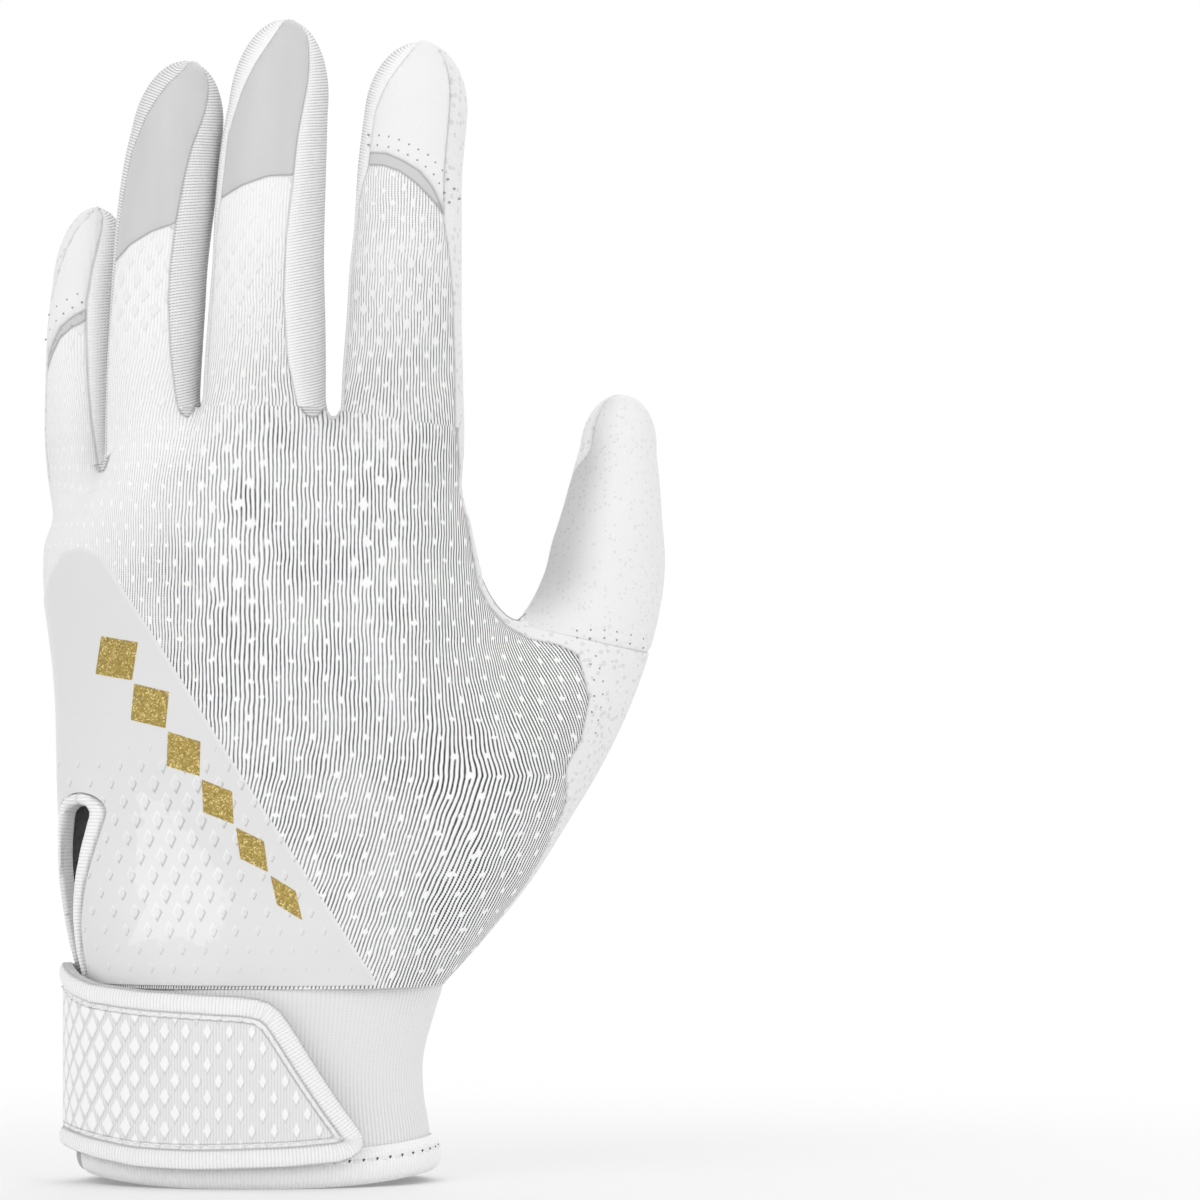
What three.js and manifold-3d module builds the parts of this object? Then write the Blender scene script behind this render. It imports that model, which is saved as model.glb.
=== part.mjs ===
// A left-hand batting glove, filled out as if worn: fingers up, back to -Y, palm to +Y, thumb to +X.
// Sizes are in millimetres. It stands on its cuff's hem, with its origin in the middle of its bottom.
import * as THREE from "three";
import { mergeVertices } from "three/addons/utils/BufferGeometryUtils.js";
import Module from "manifold-3d";

const wasm = await Module();
wasm.setup();

// Walls, clearances and cuts
const leatherWall = 1.3;
const seamGap = 0.3;
const sheetGap = 0.3;
const cutOverrun = 12;

// Cuff
const cuffHeight = 41;
const cuffHalfWidth = 35.3;
const cuffHalfDepth = 24;
const cuffMiddle = 1.2;
const cuffFlare = 1.9;
const hemHeight = 8;
const hemExtra = 0.7;
const openingWidth = 5;
const openingMiddle = -4;

// Hand, from the cuff's seam to the webs
const handLength = 120.5;
const palmHalfWidth = 42;
const palmHalfDepth = 14;
const webDrop = 12;
const webMiddle = 12;
const cupStart = 5;
const cupRadius = 66;
const cupLow = 45;
const cupHigh = 110;

// Slit in the little-finger side, above the cuff
const slitTop = 79;
const bindingWidth = 2.4;
const bindingExtra = 0.7;

// Fingers: the hinge's place, its height above the hand's top, and each size from the hinge up
const fingerSideways = 20;
const hingeLean = 0.05;
const fingerCurl = 0.0014;
const fingerRoot = 30;
const fingerTaperPower = 2;
const tipShare = 1.15;
const flexRange = 75;
const flexMargin = 1.5;
const creaseStart = 1.6;
const fingers = [
  { name: "index", x: 32.1, y: -0.5, above: 8.5, length: 70.2, halfWidth: 12.5, halfDepth: 10.6, twist: 0, lean: 0.04 },
  { name: "middle", x: 3.3, y: 0.3, above: 8.5, length: 75, halfWidth: 12.6, halfDepth: 10.8, twist: 5, lean: 0.034 },
  { name: "ring", x: -20.2, y: 4.6, above: 8.5, length: 66, halfWidth: 10.3, halfDepth: 10, twist: 19, lean: 0.06 },
  { name: "little", x: -36.2, y: 16.6, above: -3.5, length: 47, halfWidth: 8, halfDepth: 8.6, twist: 30, lean: 0 },
];
const fingerTaper = 0.18;

// Thumb
const thumbRange = 50;
const thumb = {
  name: "thumb", x: 74.2, y: 17, above: -37.5, length: 41.5, halfWidth: 12.8, halfDepth: 12.2, twist: 0,
};
const thumbLeanX = 0.11;
const thumbLeanY = 0.12;
const thumbTaper = 0.55;
const thumbTaperPower = 1.5;
const thumbTipShare = 0.7;

// Panels round a digit, as half angles from the middle of its back
const backHalfAngle = 58;
const stripAngle = 54;

// Edges of the finger backs, measured from the hinge
const capEdge = { middle: 38, ring: 27 };
const capRise = 5;
const ventWidth = 2.6;
const ventEdge = { index: 38, little: 19 };
const ventSlope = 7;

// Gussets
const gussetHalfWidth = 7;
const gussetHalfDepth = 6;
const gussetDrop = 14;
const webPatchX = 46;
const webPatchUp = 72;
const webPatchShares = [[-0.23, -0.095], [-0.024, 0.16], [0.214, 0.12], [0.16, -0.024]];

// Shield film and its motif
const filmWall = 0.5;
const motifWall = 0.7;
const motifLength = 62;
const motifWidth = 9;
const motifCount = 6;

// Palm pads
const padHeight = 3.2;
const padWall = 1.1;
const padRim = 3.4;

// Strap
const strapWall = 1.8;
const patchWall = 0.8;
const strapTop = 46;
const strapFoot = 5;
const strapReach = 25;
const strapFall = 5;
const strapCornerShare = 0.55;
const strapBinding = 4.2;
const anchorLength = 10;
const patchTopShare = 0.7;
const hookSetback = 8;
const loopSetback = 4;

// Facets
const handSides = 28;
const fingerSides = 12;
const fingerRows = 4;
const tipRows = 3;
const cutLevels = 3;

const radians = THREE.MathUtils.degToRad;
const vec = (x, y, z) => new THREE.Vector3(x, y, z);

// Solids

// Turns points and triangles into a solid, whichever way round they were listed.
function closedSolid(points, faces) {
  let volume = 0;
  for (const [a, b, c] of faces) {
    volume += points[a].dot(points[b].clone().cross(points[c]));
  }
  const index = volume < 0 ? faces.flatMap(([a, b, c]) => [a, c, b]) : faces.flat();
  const geometry = new THREE.BufferGeometry().setFromPoints(points);
  geometry.setIndex(index);
  return solidOf(geometry);
}

function solidOf(geometry) {
  const bare = geometry.clone();
  bare.deleteAttribute("normal");
  bare.deleteAttribute("uv");
  const merged = mergeVertices(bare, 1e-4);
  return new wasm.Manifold(
    new wasm.Mesh({
      numProp: 3,
      vertProperties: merged.attributes.position.array,
      triVerts: new Uint32Array(merged.index.array),
    }),
  );
}

// Joins rings of points into one closed body. A fan from point 0 closes convex and sector rings;
// a zip across the ring closes one that is bent like the palm.
function loft(rings, zipped = false) {
  const count = rings[0].length;
  const faces = [];
  for (let row = 0; row + 1 < rings.length; row++) {
    for (let i = 0; i < count; i++) {
      const a = row * count + i;
      const b = row * count + ((i + 1) % count);
      faces.push([a, b, b + count], [a, b + count, a + count]);
    }
  }
  for (const [base, flip] of [[0, true], [(rings.length - 1) * count, false]]) {
    const cap = zipped ? zipCap(count) : fanCap(count);
    for (const [a, b, c] of cap) {
      faces.push(flip ? [base + a, base + c, base + b] : [base + a, base + b, base + c]);
    }
  }
  return closedSolid(rings.flat(), faces);
}

function fanCap(count) {
  return Array.from({ length: count - 2 }, (_, i) => [0, i + 1, i + 2]);
}

function zipCap(count) {
  const faces = [[0, 1, count - 1]];
  for (let i = 1; i < count / 2 - 1; i++) {
    faces.push([i, i + 1, count - i], [i + 1, count - i - 1, count - i]);
  }
  faces.push([count / 2 - 1, count / 2, count / 2 + 1]);
  return faces;
}

// A prism of a flat outline: [u, v] points, laid out along two directions and pushed along a third.
function prism(drawn, origin, across, up, out, near, far) {
  const clockwise = THREE.ShapeUtils.isClockWise(drawn.map(([u, v]) => new THREE.Vector2(u, v)));
  const outline = clockwise ? [...drawn].reverse() : drawn;
  const ring = (depth) =>
    outline.map(([u, v]) =>
      origin.clone().addScaledVector(across, u).addScaledVector(up, v).addScaledVector(out, depth),
    );
  const flat = outline.map(([u, v]) => new THREE.Vector2(u, v));
  const cap = THREE.ShapeUtils.triangulateShape(flat, []);
  const count = outline.length;
  const faces = cap.flatMap(([a, b, c]) => [[a, c, b], [a + count, b + count, c + count]]);
  for (let i = 0; i < count; i++) {
    const j = (i + 1) % count;
    faces.push([i, j, j + count], [i, j + count, i + count]);
  }
  return closedSolid([...ring(near), ...ring(far)], faces);
}

function join(...solids) {
  return solids.reduce((sum, next) => sum.add(next));
}

function largest(solid) {
  return solid.decompose().sort((a, b) => b.volume() - a.volume())[0];
}

const smooth = THREE.MathUtils.smoothstep;

// Hand

// The little-finger side of the hand rolls towards the palm round an upright axis.
function cupped(x, y, z) {
  const bend = smooth(z, cupLow, cupHigh) / cupRadius;
  const turn = (cupStart - x) * bend;
  if (turn <= 0) {
    return vec(x, y, z);
  }
  const reach = 1 / bend - y;
  return vec(cupStart - reach * Math.sin(turn), 1 / bend - reach * Math.cos(turn), z);
}

// Each row: height share, left and right shares of the palm's half width, depth share, and how far it
// follows the drop of the webs.
const handRowShares = [
  [0, -0.815, 0.97, 1.7, 0],
  [0.07, -0.87, 1.14, 1.56, 0],
  [0.17, -0.92, 1.33, 1.36, 0],
  [0.32, -0.97, 1.42, 1.2, 0],
  [0.49, -1.03, 1.43, 1.12, 0],
  [0.61, -1.09, 1.34, 1.07, 0],
  [0.7, -1.13, 1.19, 1.04, 0.1],
  [0.81, -1.16, 1.12, 0.97, 0.4],
  [0.9, -1.16, 1.08, 0.86, 0.8],
  [0.95, -1.14, 1.06, 0.7, 1],
  [0.98, -1.11, 1.04, 0.48, 1],
  [1, -1.07, 1.01, 0.2, 1],
];
const handSquareness = 2.3;

// A closed form of the hand whose surface lies a distance inside the glove's outer surface.
function handForm(inset, drop = 0) {
  const power = 2 / handSquareness;
  const rings = handRowShares.map(([up, left, right, depth, lift], row) => {
    const low = left * palmHalfWidth + inset;
    const high = right * palmHalfWidth - inset;
    const half = Math.max(depth * palmHalfDepth - inset, leatherWall / 4);
    const z = cuffHeight + seamGap + up * handLength - inset * lift - (row ? 0 : drop);
    return Array.from({ length: handSides }, (_, i) => {
      const angle = (2 * Math.PI * i) / handSides;
      const c = Math.cos(angle);
      const s = Math.sin(angle);
      const x = (low + high) / 2 + ((high - low) / 2) * Math.sign(c) * Math.abs(c) ** power;
      const y = half * Math.sign(s) * Math.abs(s) ** power;
      const fall = lift * webDrop * ((x - webMiddle) / palmHalfWidth) ** 2;
      return cupped(x, y, z - fall);
    });
  });
  return loft(rings, true);
}

// Digits

// The way the four fingers swing: all hinges share one sideways direction, so that neighbours stay apart.
const sideways = vec(
  -Math.cos(radians(fingerSideways)),
  Math.sin(radians(fingerSideways)),
  hingeLean * Math.cos(radians(fingerSideways)),
).normalize();

const handTop = cuffHeight + handLength;

// A digit's frame at its hinge: along it, sideways to the little finger, and palm-ward. Its aim is its centre line's.
function frameOf(digit) {
  const isThumb = digit.name === "thumb";
  const side = isThumb ? vec(-0.86, -0.5, 0).normalize() : sideways;
  const aim = isThumb ? vec(thumbLeanX, thumbLeanY, 1) : vec(digit.lean, 0, 1);
  const along = aim.clone().addScaledVector(side, -aim.dot(side)).normalize();
  const palmward = side.clone().cross(along).normalize();
  return { along, aim: aim.normalize(), side, palmward, hinge: vec(digit.x, digit.y, handTop + digit.above) };
}

// The thumb's root, as shares of its distance down and back into the palm, with its size there.
const thumbRootShares = [
  [1, 0.85, 0.9],
  [0.66, 1.3, 1.3],
  [0.36, 1.38, 1.24],
  [0.14, 1.15, 1.1],
];

// The fingers' roots, as shares of their depth in the palm, with their size there
const fingerRootShares = [
  [1, 0.55],
  [0.55, 0.9],
];
const thumbRootX = -42;
const thumbRootY = -13;
const thumbRootZ = -66;

// Rows of a digit's centre line: the place, the half width and depth, and the distance from the hinge.
function spineOf(digit) {
  const { aim, palmward, hinge } = frameOf(digit);
  const isThumb = digit === thumb;
  const fall = isThumb ? thumbTaper : fingerTaper;
  const power = isThumb ? thumbTaperPower : fingerTaperPower;
  const rows = [];
  const row = (distance, scale) => {
    const curl = fingerCurl * Math.max(distance, 0) ** 2;
    const taper = 1 - fall * Math.max(distance / digit.length, 0) ** power;
    const centre = hinge.clone().addScaledVector(aim, distance).addScaledVector(palmward, curl);
    const size = taper * scale;
    rows.push({ centre, width: digit.halfWidth * size, depth: digit.halfDepth * size, distance });
  };
  if (isThumb) {
    for (const [share, wide, deep] of thumbRootShares) {
      const bow = share ** 1.35;
      const centre = hinge.clone().add(vec(thumbRootX * bow, thumbRootY * share, thumbRootZ * share));
      rows.push({
        centre, width: digit.halfWidth * wide, depth: digit.halfDepth * deep, distance: thumbRootZ * share,
      });
    }
  } else {
    for (const [share, scale] of fingerRootShares) {
      row(-fingerRoot * share, scale);
    }
  }
  const tip = digit.halfDepth * (isThumb ? thumbTipShare : tipShare);
  for (let i = 0; i <= fingerRows; i++) {
    row(((digit.length - tip) * i) / fingerRows, 1);
  }
  for (let i = 1; i <= tipRows; i++) {
    const angle = (radians(84) * i) / tipRows;
    row(digit.length - tip + tip * Math.sin(angle), Math.cos(angle));
  }
  return rows;
}

// Directions of a section: its plane is square to the centre line, and its back is turned by the twist.
function sectionOf(digit, rows, index) {
  const before = rows[Math.max(index - 1, 0)].centre;
  const after = rows[Math.min(index + 1, rows.length - 1)].centre;
  const along = after.clone().sub(before).normalize();
  const twist = radians(digit.twist);
  const back = digit.name === "thumb" ? frameOf(digit).palmward.clone().negate() : vec(-Math.sin(twist), -Math.cos(twist), 0);
  back.addScaledVector(along, -back.dot(along)).normalize();
  return { along, back, thumbward: back.clone().cross(along).normalize().negate() };
}

function digitForm(digit, inset) {
  const rows = spineOf(digit);
  const last = rows.length - 1;
  const rings = rows.map(({ centre, width, depth }, index) => {
    const { along, back, thumbward } = sectionOf(digit, rows, index);
    const share = index > last - tipRows ? (index - last + tipRows) / tipRows : 0;
    const shrink = Math.max(width - inset, width / 4) / width;
    const middle = centre.clone().addScaledVector(along, -inset * share);
    return Array.from({ length: fingerSides }, (_, i) => {
      const angle = (2 * Math.PI * i) / fingerSides;
      return middle
        .clone()
        .addScaledVector(back, Math.cos(angle) * depth * shrink)
        .addScaledVector(thumbward, Math.sin(angle) * width * shrink);
    });
  });
  return loft(rings);
}

// The part of a digit between two angles from its back and two edges along it.
function sector(digit, from, to, lowEdge, highEdge) {
  const rows = spineOf(digit).filter(({ distance }) => distance >= -fingerRoot);
  const steps = Math.ceil((to - from) / 30);
  const half = radians((to - from) / 2);
  const middle = radians((from + to) / 2);
  const apex = seamGap / 2 / Math.sin(half);
  const reach = digit.halfWidth * 2;
  const rings = Array.from({ length: cutLevels + 1 }, (_, level) => {
    const at = (angle) => {
      const low = lowEdge(angle);
      return low + ((highEdge(angle) - low) * level) / cutLevels;
    };
    const ring = [place(digit, rows, at(middle), middle, apex)];
    for (let i = 0; i <= steps; i++) {
      const angle = radians(from + ((to - from) * i) / steps);
      const point = place(digit, rows, at(angle), angle, reach);
      ring.push(point.add(offsetAt(digit, rows, at(angle), middle, apex)));
    }
    return ring;
  });
  return loft(rings);
}

// A place off the centre line, by its distance along, its angle from the back and its reach.
function place(digit, rows, distance, angle, reach) {
  let index = rows.findIndex((row) => row.distance > distance);
  index = index < 0 ? rows.length - 1 : Math.max(index, 1);
  const a = rows[index - 1];
  const b = rows[index];
  const share = (distance - a.distance) / (b.distance - a.distance);
  return a.centre.clone().lerp(b.centre, share).add(offsetAt(digit, rows, distance, angle, reach));
}

function offsetAt(digit, rows, distance, angle, reach) {
  const { back, thumbward } = sectionOf(digit, rows, 1);
  return back.clone().multiplyScalar(Math.cos(angle) * reach).addScaledVector(thumbward, Math.sin(angle) * reach);
}

// Prisms across a digit's hinge, drawn in its plane of swing: [along, palm-ward] points.
function hingeCut(digit, outline, margin) {
  const { along, side, palmward, hinge } = frameOf(digit);
  const reach = digit.halfWidth + margin;
  return prism(outline, hinge, along, palmward, side, -reach, reach);
}

function hingeShapes(digit, range) {
  const slope = Math.tan(radians(range / 2 + flexMargin));
  const cosine = Math.cos(radians(range / 2 + flexMargin));
  const deep = digit.halfDepth * 1.6;
  const long = digit.length + cutOverrun;
  const gap = seamGap / 2;
  const moving = [
    [gap, -deep], [gap, 0], [gap + deep * slope, deep], [long, deep], [long, -deep],
  ];
  const cleared = [
    [-gap, -deep], [-gap, 0], [-gap - deep * slope, deep], [long, deep], [long, -deep],
  ];
  const wedge = (depth) => gap + depth * slope - seamGap / cosine;
  const crease = [
    [-wedge(creaseStart), creaseStart], [-wedge(deep), deep], [wedge(deep), deep], [wedge(creaseStart), creaseStart],
  ];
  return { moving, cleared, crease };
}

// Colours and finishes
const finishes = {
  leather: { color: "#f4f4f3", roughness: 0.55 },
  knit: { color: "#dfe0e2", roughness: 0.9 },
  film: { color: "#e3e3e5", roughness: 0.25 },
  gold: { color: "#b99a3c", roughness: 0.4, metalness: 0.3 },
  ribbed: { color: "#d6d7d9", roughness: 0.9 },
  grey: { color: "#cfcfd1", roughness: 0.35 },
  foam: { color: "#ececea", roughness: 1 },
  hook: { color: "#f0f0ef", roughness: 0.8 },
};
const glove = new THREE.Group();

function addPiece(name, solid, finish) {
  const { vertProperties, triVerts } = solid.getMesh();
  const geometry = new THREE.BufferGeometry();
  geometry.setAttribute("position", new THREE.BufferAttribute(new Float32Array(vertProperties), 3));
  geometry.setIndex(new THREE.BufferAttribute(new Uint32Array(triVerts), 1));
  geometry.computeVertexNormals();
  const mesh = new THREE.Mesh(geometry, new THREE.MeshStandardMaterial(finishes[finish]));
  mesh.name = name;
  glove.add(mesh);
}

// Moving part of each digit, cut into its panels
const digits = [...fingers, thumb];
const rangeOf = (digit) => (digit === thumb ? thumbRange : flexRange);
const stubs = [];
const roundStubs = [];
const hollows = [];
const cleared = [];
for (const digit of digits) {
  const outer = digitForm(digit, 0);
  const inner = digitForm(digit, leatherWall);
  const shell = outer.subtract(inner);
  const shapes = hingeShapes(digit, rangeOf(digit));
  const margin = digit === thumb ? cutOverrun : seamGap;
  const moving = shell.intersect(hingeCut(digit, shapes.moving, margin));
  const crease = shell.intersect(hingeCut(digit, shapes.crease, margin));
  stubs.push(outer);
  roundStubs.push(digitForm(digit, -sheetGap));
  hollows.push(inner);
  cleared.push(hingeCut(digit, shapes.cleared, margin));
  addPiece(`${digit.name}_crease`, largest(crease), "leather");

  const end = () => digit.length + cutOverrun / 2;
  const start = () => -digit.halfDepth;
  const panel = (name, from, to, low, high, finish) => {
    const piece = moving.intersect(sector(digit, from, to, low, high));
    addPiece(`${digit.name}_${name}`, largest(piece), finish);
  };
  const side = backHalfAngle + stripAngle;
  if (digit === thumb) {
    panel("back", -90, 90, start, end, "leather");
    panel("palm", 90, 270, start, end, "leather");
    continue;
  }
  const wrapsThumbSide = digit.name === "index";
  const wrapsLittleSide = digit.name === "little";
  const palmFrom = wrapsThumbSide ? backHalfAngle : side;
  const palmTo = 360 - (wrapsLittleSide ? backHalfAngle : side);
  panel("palm", palmFrom, palmTo, start, end, "leather");
  if (!wrapsThumbSide) {
    panel("strip_thumb_side", backHalfAngle, side, start, end, "ribbed");
  }
  if (!wrapsLittleSide) {
    panel("strip_little_side", -side, -backHalfAngle, start, end, "ribbed");
  }
  if (digit.name in capEdge) {
    const edge = (angle) => capEdge[digit.name] + capRise * Math.sin(angle) - capRise * Math.cos(2 * angle);
    panel("back", -backHalfAngle, backHalfAngle, start, (a) => edge(a) - seamGap / 2, "knit");
    panel("cap", -backHalfAngle, backHalfAngle, (a) => edge(a) + seamGap / 2, end, "grey");
  } else {
    const slope = wrapsThumbSide ? -ventSlope : ventSlope;
    const edge = (angle) => ventEdge[digit.name] + slope * Math.sin(angle);
    panel("back", -backHalfAngle, backHalfAngle, start, (a) => edge(a) - seamGap / 2, "knit");
    panel(
      "vent", -backHalfAngle, backHalfAngle,
      (a) => edge(a) + seamGap / 2, (a) => edge(a) + ventWidth - seamGap / 2, "grey",
    );
    panel("tip", -backHalfAngle, backHalfAngle, (a) => edge(a) + ventWidth + seamGap / 2, end, "leather");
  }
}

// Hand shell: the outer forms joined, less the hollows joined
const handOuter = join(handForm(0), ...stubs);
const handInner = join(handForm(leatherWall, cutOverrun), ...hollows);
let handShell = handOuter.subtract(handInner);
for (const cut of cleared) {
  handShell = handShell.subtract(cut);
}

const X = vec(1, 0, 0);
const Y = vec(0, 1, 0);
const Z = vec(0, 0, 1);
const origin = vec(0, 0, 0);
const wide = palmHalfWidth * 2;
const layerStart = palmHalfDepth / 7;

// Slit in the little-finger side: a slot with a round top, drawn as [y, z] points
const slotHalf = openingWidth / 2;
function slotOutline(extra, foot) {
  const half = slotHalf + extra;
  const points = [[openingMiddle - half, foot], [openingMiddle + half, foot]];
  for (let i = 0; i <= 6; i++) {
    const angle = (Math.PI * i) / 6;
    points.push([openingMiddle + half * Math.cos(angle), slitTop - slotHalf + half * Math.sin(angle)]);
  }
  return points;
}
const slot = (extra, foot) => prism(slotOutline(extra, foot), origin, Y, Z, X, -wide, -cuffHalfWidth / 2);
handShell = handShell.subtract(slot(bindingWidth + seamGap, 0));
const seam = cuffHeight + seamGap;
const bindingBand = handForm(-bindingExtra).subtract(handForm(leatherWall, cutOverrun));
const aboveSeam = prism(
  [[-wide * 2, seam], [wide * 2, seam], [wide * 2, handLength * 2], [-wide * 2, handLength * 2]],
  origin, X, Z, Y, -wide, wide,
);
const slitBinding = bindingBand
  .intersect(slot(bindingWidth, 0))
  .subtract(slot(0, -cutOverrun))
  .intersect(aboveSeam);
addPiece("slit_binding", largest(slitBinding), "ribbed");

// Gussets between the fingers: the strips on the facing sides and the web that joins them
for (let i = 0; i + 1 < fingers.length; i++) {
  const a = fingers[i];
  const b = fingers[i + 1];
  const low = handTop + Math.min(a.above, b.above);
  const ax = a.x - a.halfWidth;
  const bx = b.x + b.halfWidth;
  const middle = vec((ax + bx) / 2 - a.lean * fingerRoot / 2, (a.y + b.y) / 2, low);
  const turn = radians((a.twist + b.twist) / 2);
  const across = vec(Math.cos(turn), -Math.sin(turn), 0);
  const depth = vec(Math.sin(turn), Math.cos(turn), 0);
  const rise = cutOverrun;
  const half = gussetHalfWidth;
  const box = (extra) =>
    prism(
      [
        [-half - extra, rise], [-half - extra, -gussetDrop - extra],
        [half + extra, -gussetDrop - extra], [half + extra, rise],
      ],
      middle, across, Z, depth, -gussetHalfDepth - extra, gussetHalfDepth + extra,
    );
  addPiece(`gusset_${a.name}_${b.name}`, largest(handShell.intersect(box(0))), "ribbed");
  handShell = handShell.subtract(box(seamGap));
}

// Gusset at the thumb's web, in the palm
const webPoint = vec(webPatchX, 0, cuffHeight + webPatchUp);
const webGussetOutline = webPatchShares.map(([u, v]) => [u * palmHalfWidth, v * palmHalfWidth]);
const webGusset = (extra) =>
  prism(
    webGussetOutline.map(([u, v]) => [u + Math.sign(u) * extra, v + Math.sign(v) * extra]),
    webPoint, X, Z, Y, 0, wide,
  );
addPiece("gusset_thumb_web", largest(handShell.intersect(webGusset(0))), "grey");
handShell = handShell.subtract(webGusset(seamGap));

// The back's knit panel ends at the little-finger side's middle, and short of the edge at the thumb
const backEdgeShares = [
  [0, 0.93], [0.1, 1.14], [0.2, 1.38], [0.28, 1.55], [0.36, 1.6], [0.44, 1.66], [0.5, 1.7], [0.58, 1.62],
  [0.62, 1.5], [0.7, 1.27], [0.8, 1.2], [1.1, 1.15],
];
function backRegion(extra) {
  const columns = 14;
  const rings = backEdgeShares.map(([up, edge]) => {
    const right = edge * palmHalfWidth - extra;
    const left = -palmHalfWidth * 1.35;
    const z = cuffHeight + (up - 0.02) * handLength;
    const ring = [];
    for (let i = 0; i <= columns; i++) {
      const x = right + ((left - right) * i) / columns;
      const rise = (smooth(x, palmHalfWidth, thumb.x) * thumb.y) / 3;
      ring.push(cupped(x, rise - extra, z));
    }
    for (let i = columns; i >= 0; i--) {
      const x = right + ((left - right) * i) / columns;
      ring.push(cupped(x, -palmHalfWidth, z));
    }
    return ring;
  });
  return loftStrip(rings);
}

// As loft, with ends closed between the two long sides of a strip-like ring.
function loftStrip(rings) {
  const count = rings[0].length;
  const faces = [];
  for (let row = 0; row + 1 < rings.length; row++) {
    for (let i = 0; i < count; i++) {
      const a = row * count + i;
      const b = row * count + ((i + 1) % count);
      faces.push([a, b, b + count], [a, b + count, a + count]);
    }
  }
  const top = (rings.length - 1) * count;
  for (let i = 0; i + 1 < count / 2; i++) {
    const far = count - 1 - i;
    faces.push([i, i + 1, far - 1].reverse(), [i, far - 1, far].reverse());
    faces.push([top + i, top + i + 1, top + far - 1], [top + i, top + far - 1, top + far]);
  }
  return closedSolid(rings.flat(), faces);
}

const backKnit = handShell.intersect(backRegion(0));
const palmLeather = handShell.subtract(backRegion(-seamGap));
addPiece("back_knit", largest(backKnit), "knit");
addPiece("palm_leather", largest(palmLeather), "leather");

// Layers laid on the hand: between two distances outside its surface, within an outline seen along Y
function layer(low, high, outline, sign) {
  const window = prism(outline, origin, X, Z, Y, sign > 0 ? layerStart : -wide, sign > 0 ? wide : -layerStart);
  return handForm(-high).subtract(handForm(-low)).intersect(window).subtract(join(...roundStubs));
}

// Outlines seen from the front, as shares of the palm's half width and of the hand's length above the seam
const toFront = ([u, v]) => [u * palmHalfWidth, cuffHeight + v * handLength];
const shieldShares = [
  [-0.88, 0.06], [-0.88, 0.34], [-1.0, 0.42], [-1.0, 0.7], [-0.96, 0.74], [-0.84, 0.75], [-0.6, 0.55], [-0.1, 0.3], [0.58, 0.05],
];
const shield = layer(sheetGap, sheetGap + filmWall, shieldShares.map(toFront), -1);
addPiece("back_shield", largest(shield.subtract(slot(bindingWidth + seamGap, 0))), "film");

// A falling row of lozenges along the shield's slanted edge, joined at their points
const motifStartShare = [-0.72, 0.6];
const motifEndShare = [0.28, 0.12];
function motifOutline() {
  const start = new THREE.Vector2(...toFront(motifStartShare));
  const end = new THREE.Vector2(...toFront(motifEndShare));
  const run = end.clone().sub(start).setLength(motifLength);
  const across = new THREE.Vector2(-run.y, run.x).normalize();
  const neck = motifWidth / 12;
  const upper = [];
  const lower = [];
  for (let i = 0; i <= motifCount * 2; i++) {
    const share = i / (motifCount * 2);
    const half = i % 2 ? (motifWidth / 2) * (1 - 0.6 * share) : neck;
    const at = start.clone().addScaledVector(run, share);
    upper.push(at.clone().addScaledVector(across, half).toArray());
    lower.push(at.clone().addScaledVector(across, -half).toArray());
  }
  return [...upper, ...lower.reverse()];
}
const motifLow = sheetGap * 2 + filmWall;
addPiece("shield_motif", largest(layer(motifLow, motifLow + motifWall, motifOutline(), -1)), "gold");

// Palm pads: a raised leather cover, open underneath, over its foam
const upperPadShares = [
  [0.84, 0.83], [0.6, 0.9], [0.3, 0.87], [-0.1, 0.84], [-0.5, 0.75], [-0.72, 0.7], [-0.72, 0.5], [-0.6, 0.42],
  [-0.3, 0.47], [0.1, 0.55], [0.5, 0.61], [0.84, 0.64],
];
const heelPadShares = [
  [-0.13, 0.37], [-0.4, 0.4], [-0.6, 0.38], [-0.64, 0.3], [-0.52, 0.06], [-0.3, 0.0], [-0.1, 0.02], [0, 0.08],
  [0, 0.3],
];
function shrunk(outline, by) {
  const middle = outline.reduce((sum, [u, v]) => [sum[0] + u / outline.length, sum[1] + v / outline.length], [0, 0]);
  return outline.map(([u, v]) => {
    const away = new THREE.Vector2(u - middle[0], v - middle[1]);
    away.setLength(away.length() - by);
    return [middle[0] + away.x, middle[1] + away.y];
  });
}
for (const [name, shares] of [["upper_pad", upperPadShares], ["heel_pad", heelPadShares]]) {
  const outline = shares.map(toFront);
  const whole = layer(sheetGap, padHeight, outline, 1);
  const hollow = layer(0, padHeight - padWall, shrunk(outline, padRim), 1);
  const foam = layer(sheetGap, padHeight - padWall - seamGap, shrunk(outline, padRim + seamGap), 1);
  const clear = name === "heel_pad" ? aboveSeam : whole;
  addPiece(`${name}_cover`, largest(whole.subtract(hollow).intersect(clear)), "leather");
  addPiece(`${name}_foam`, largest(foam.intersect(clear)), "foam");
}

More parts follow.
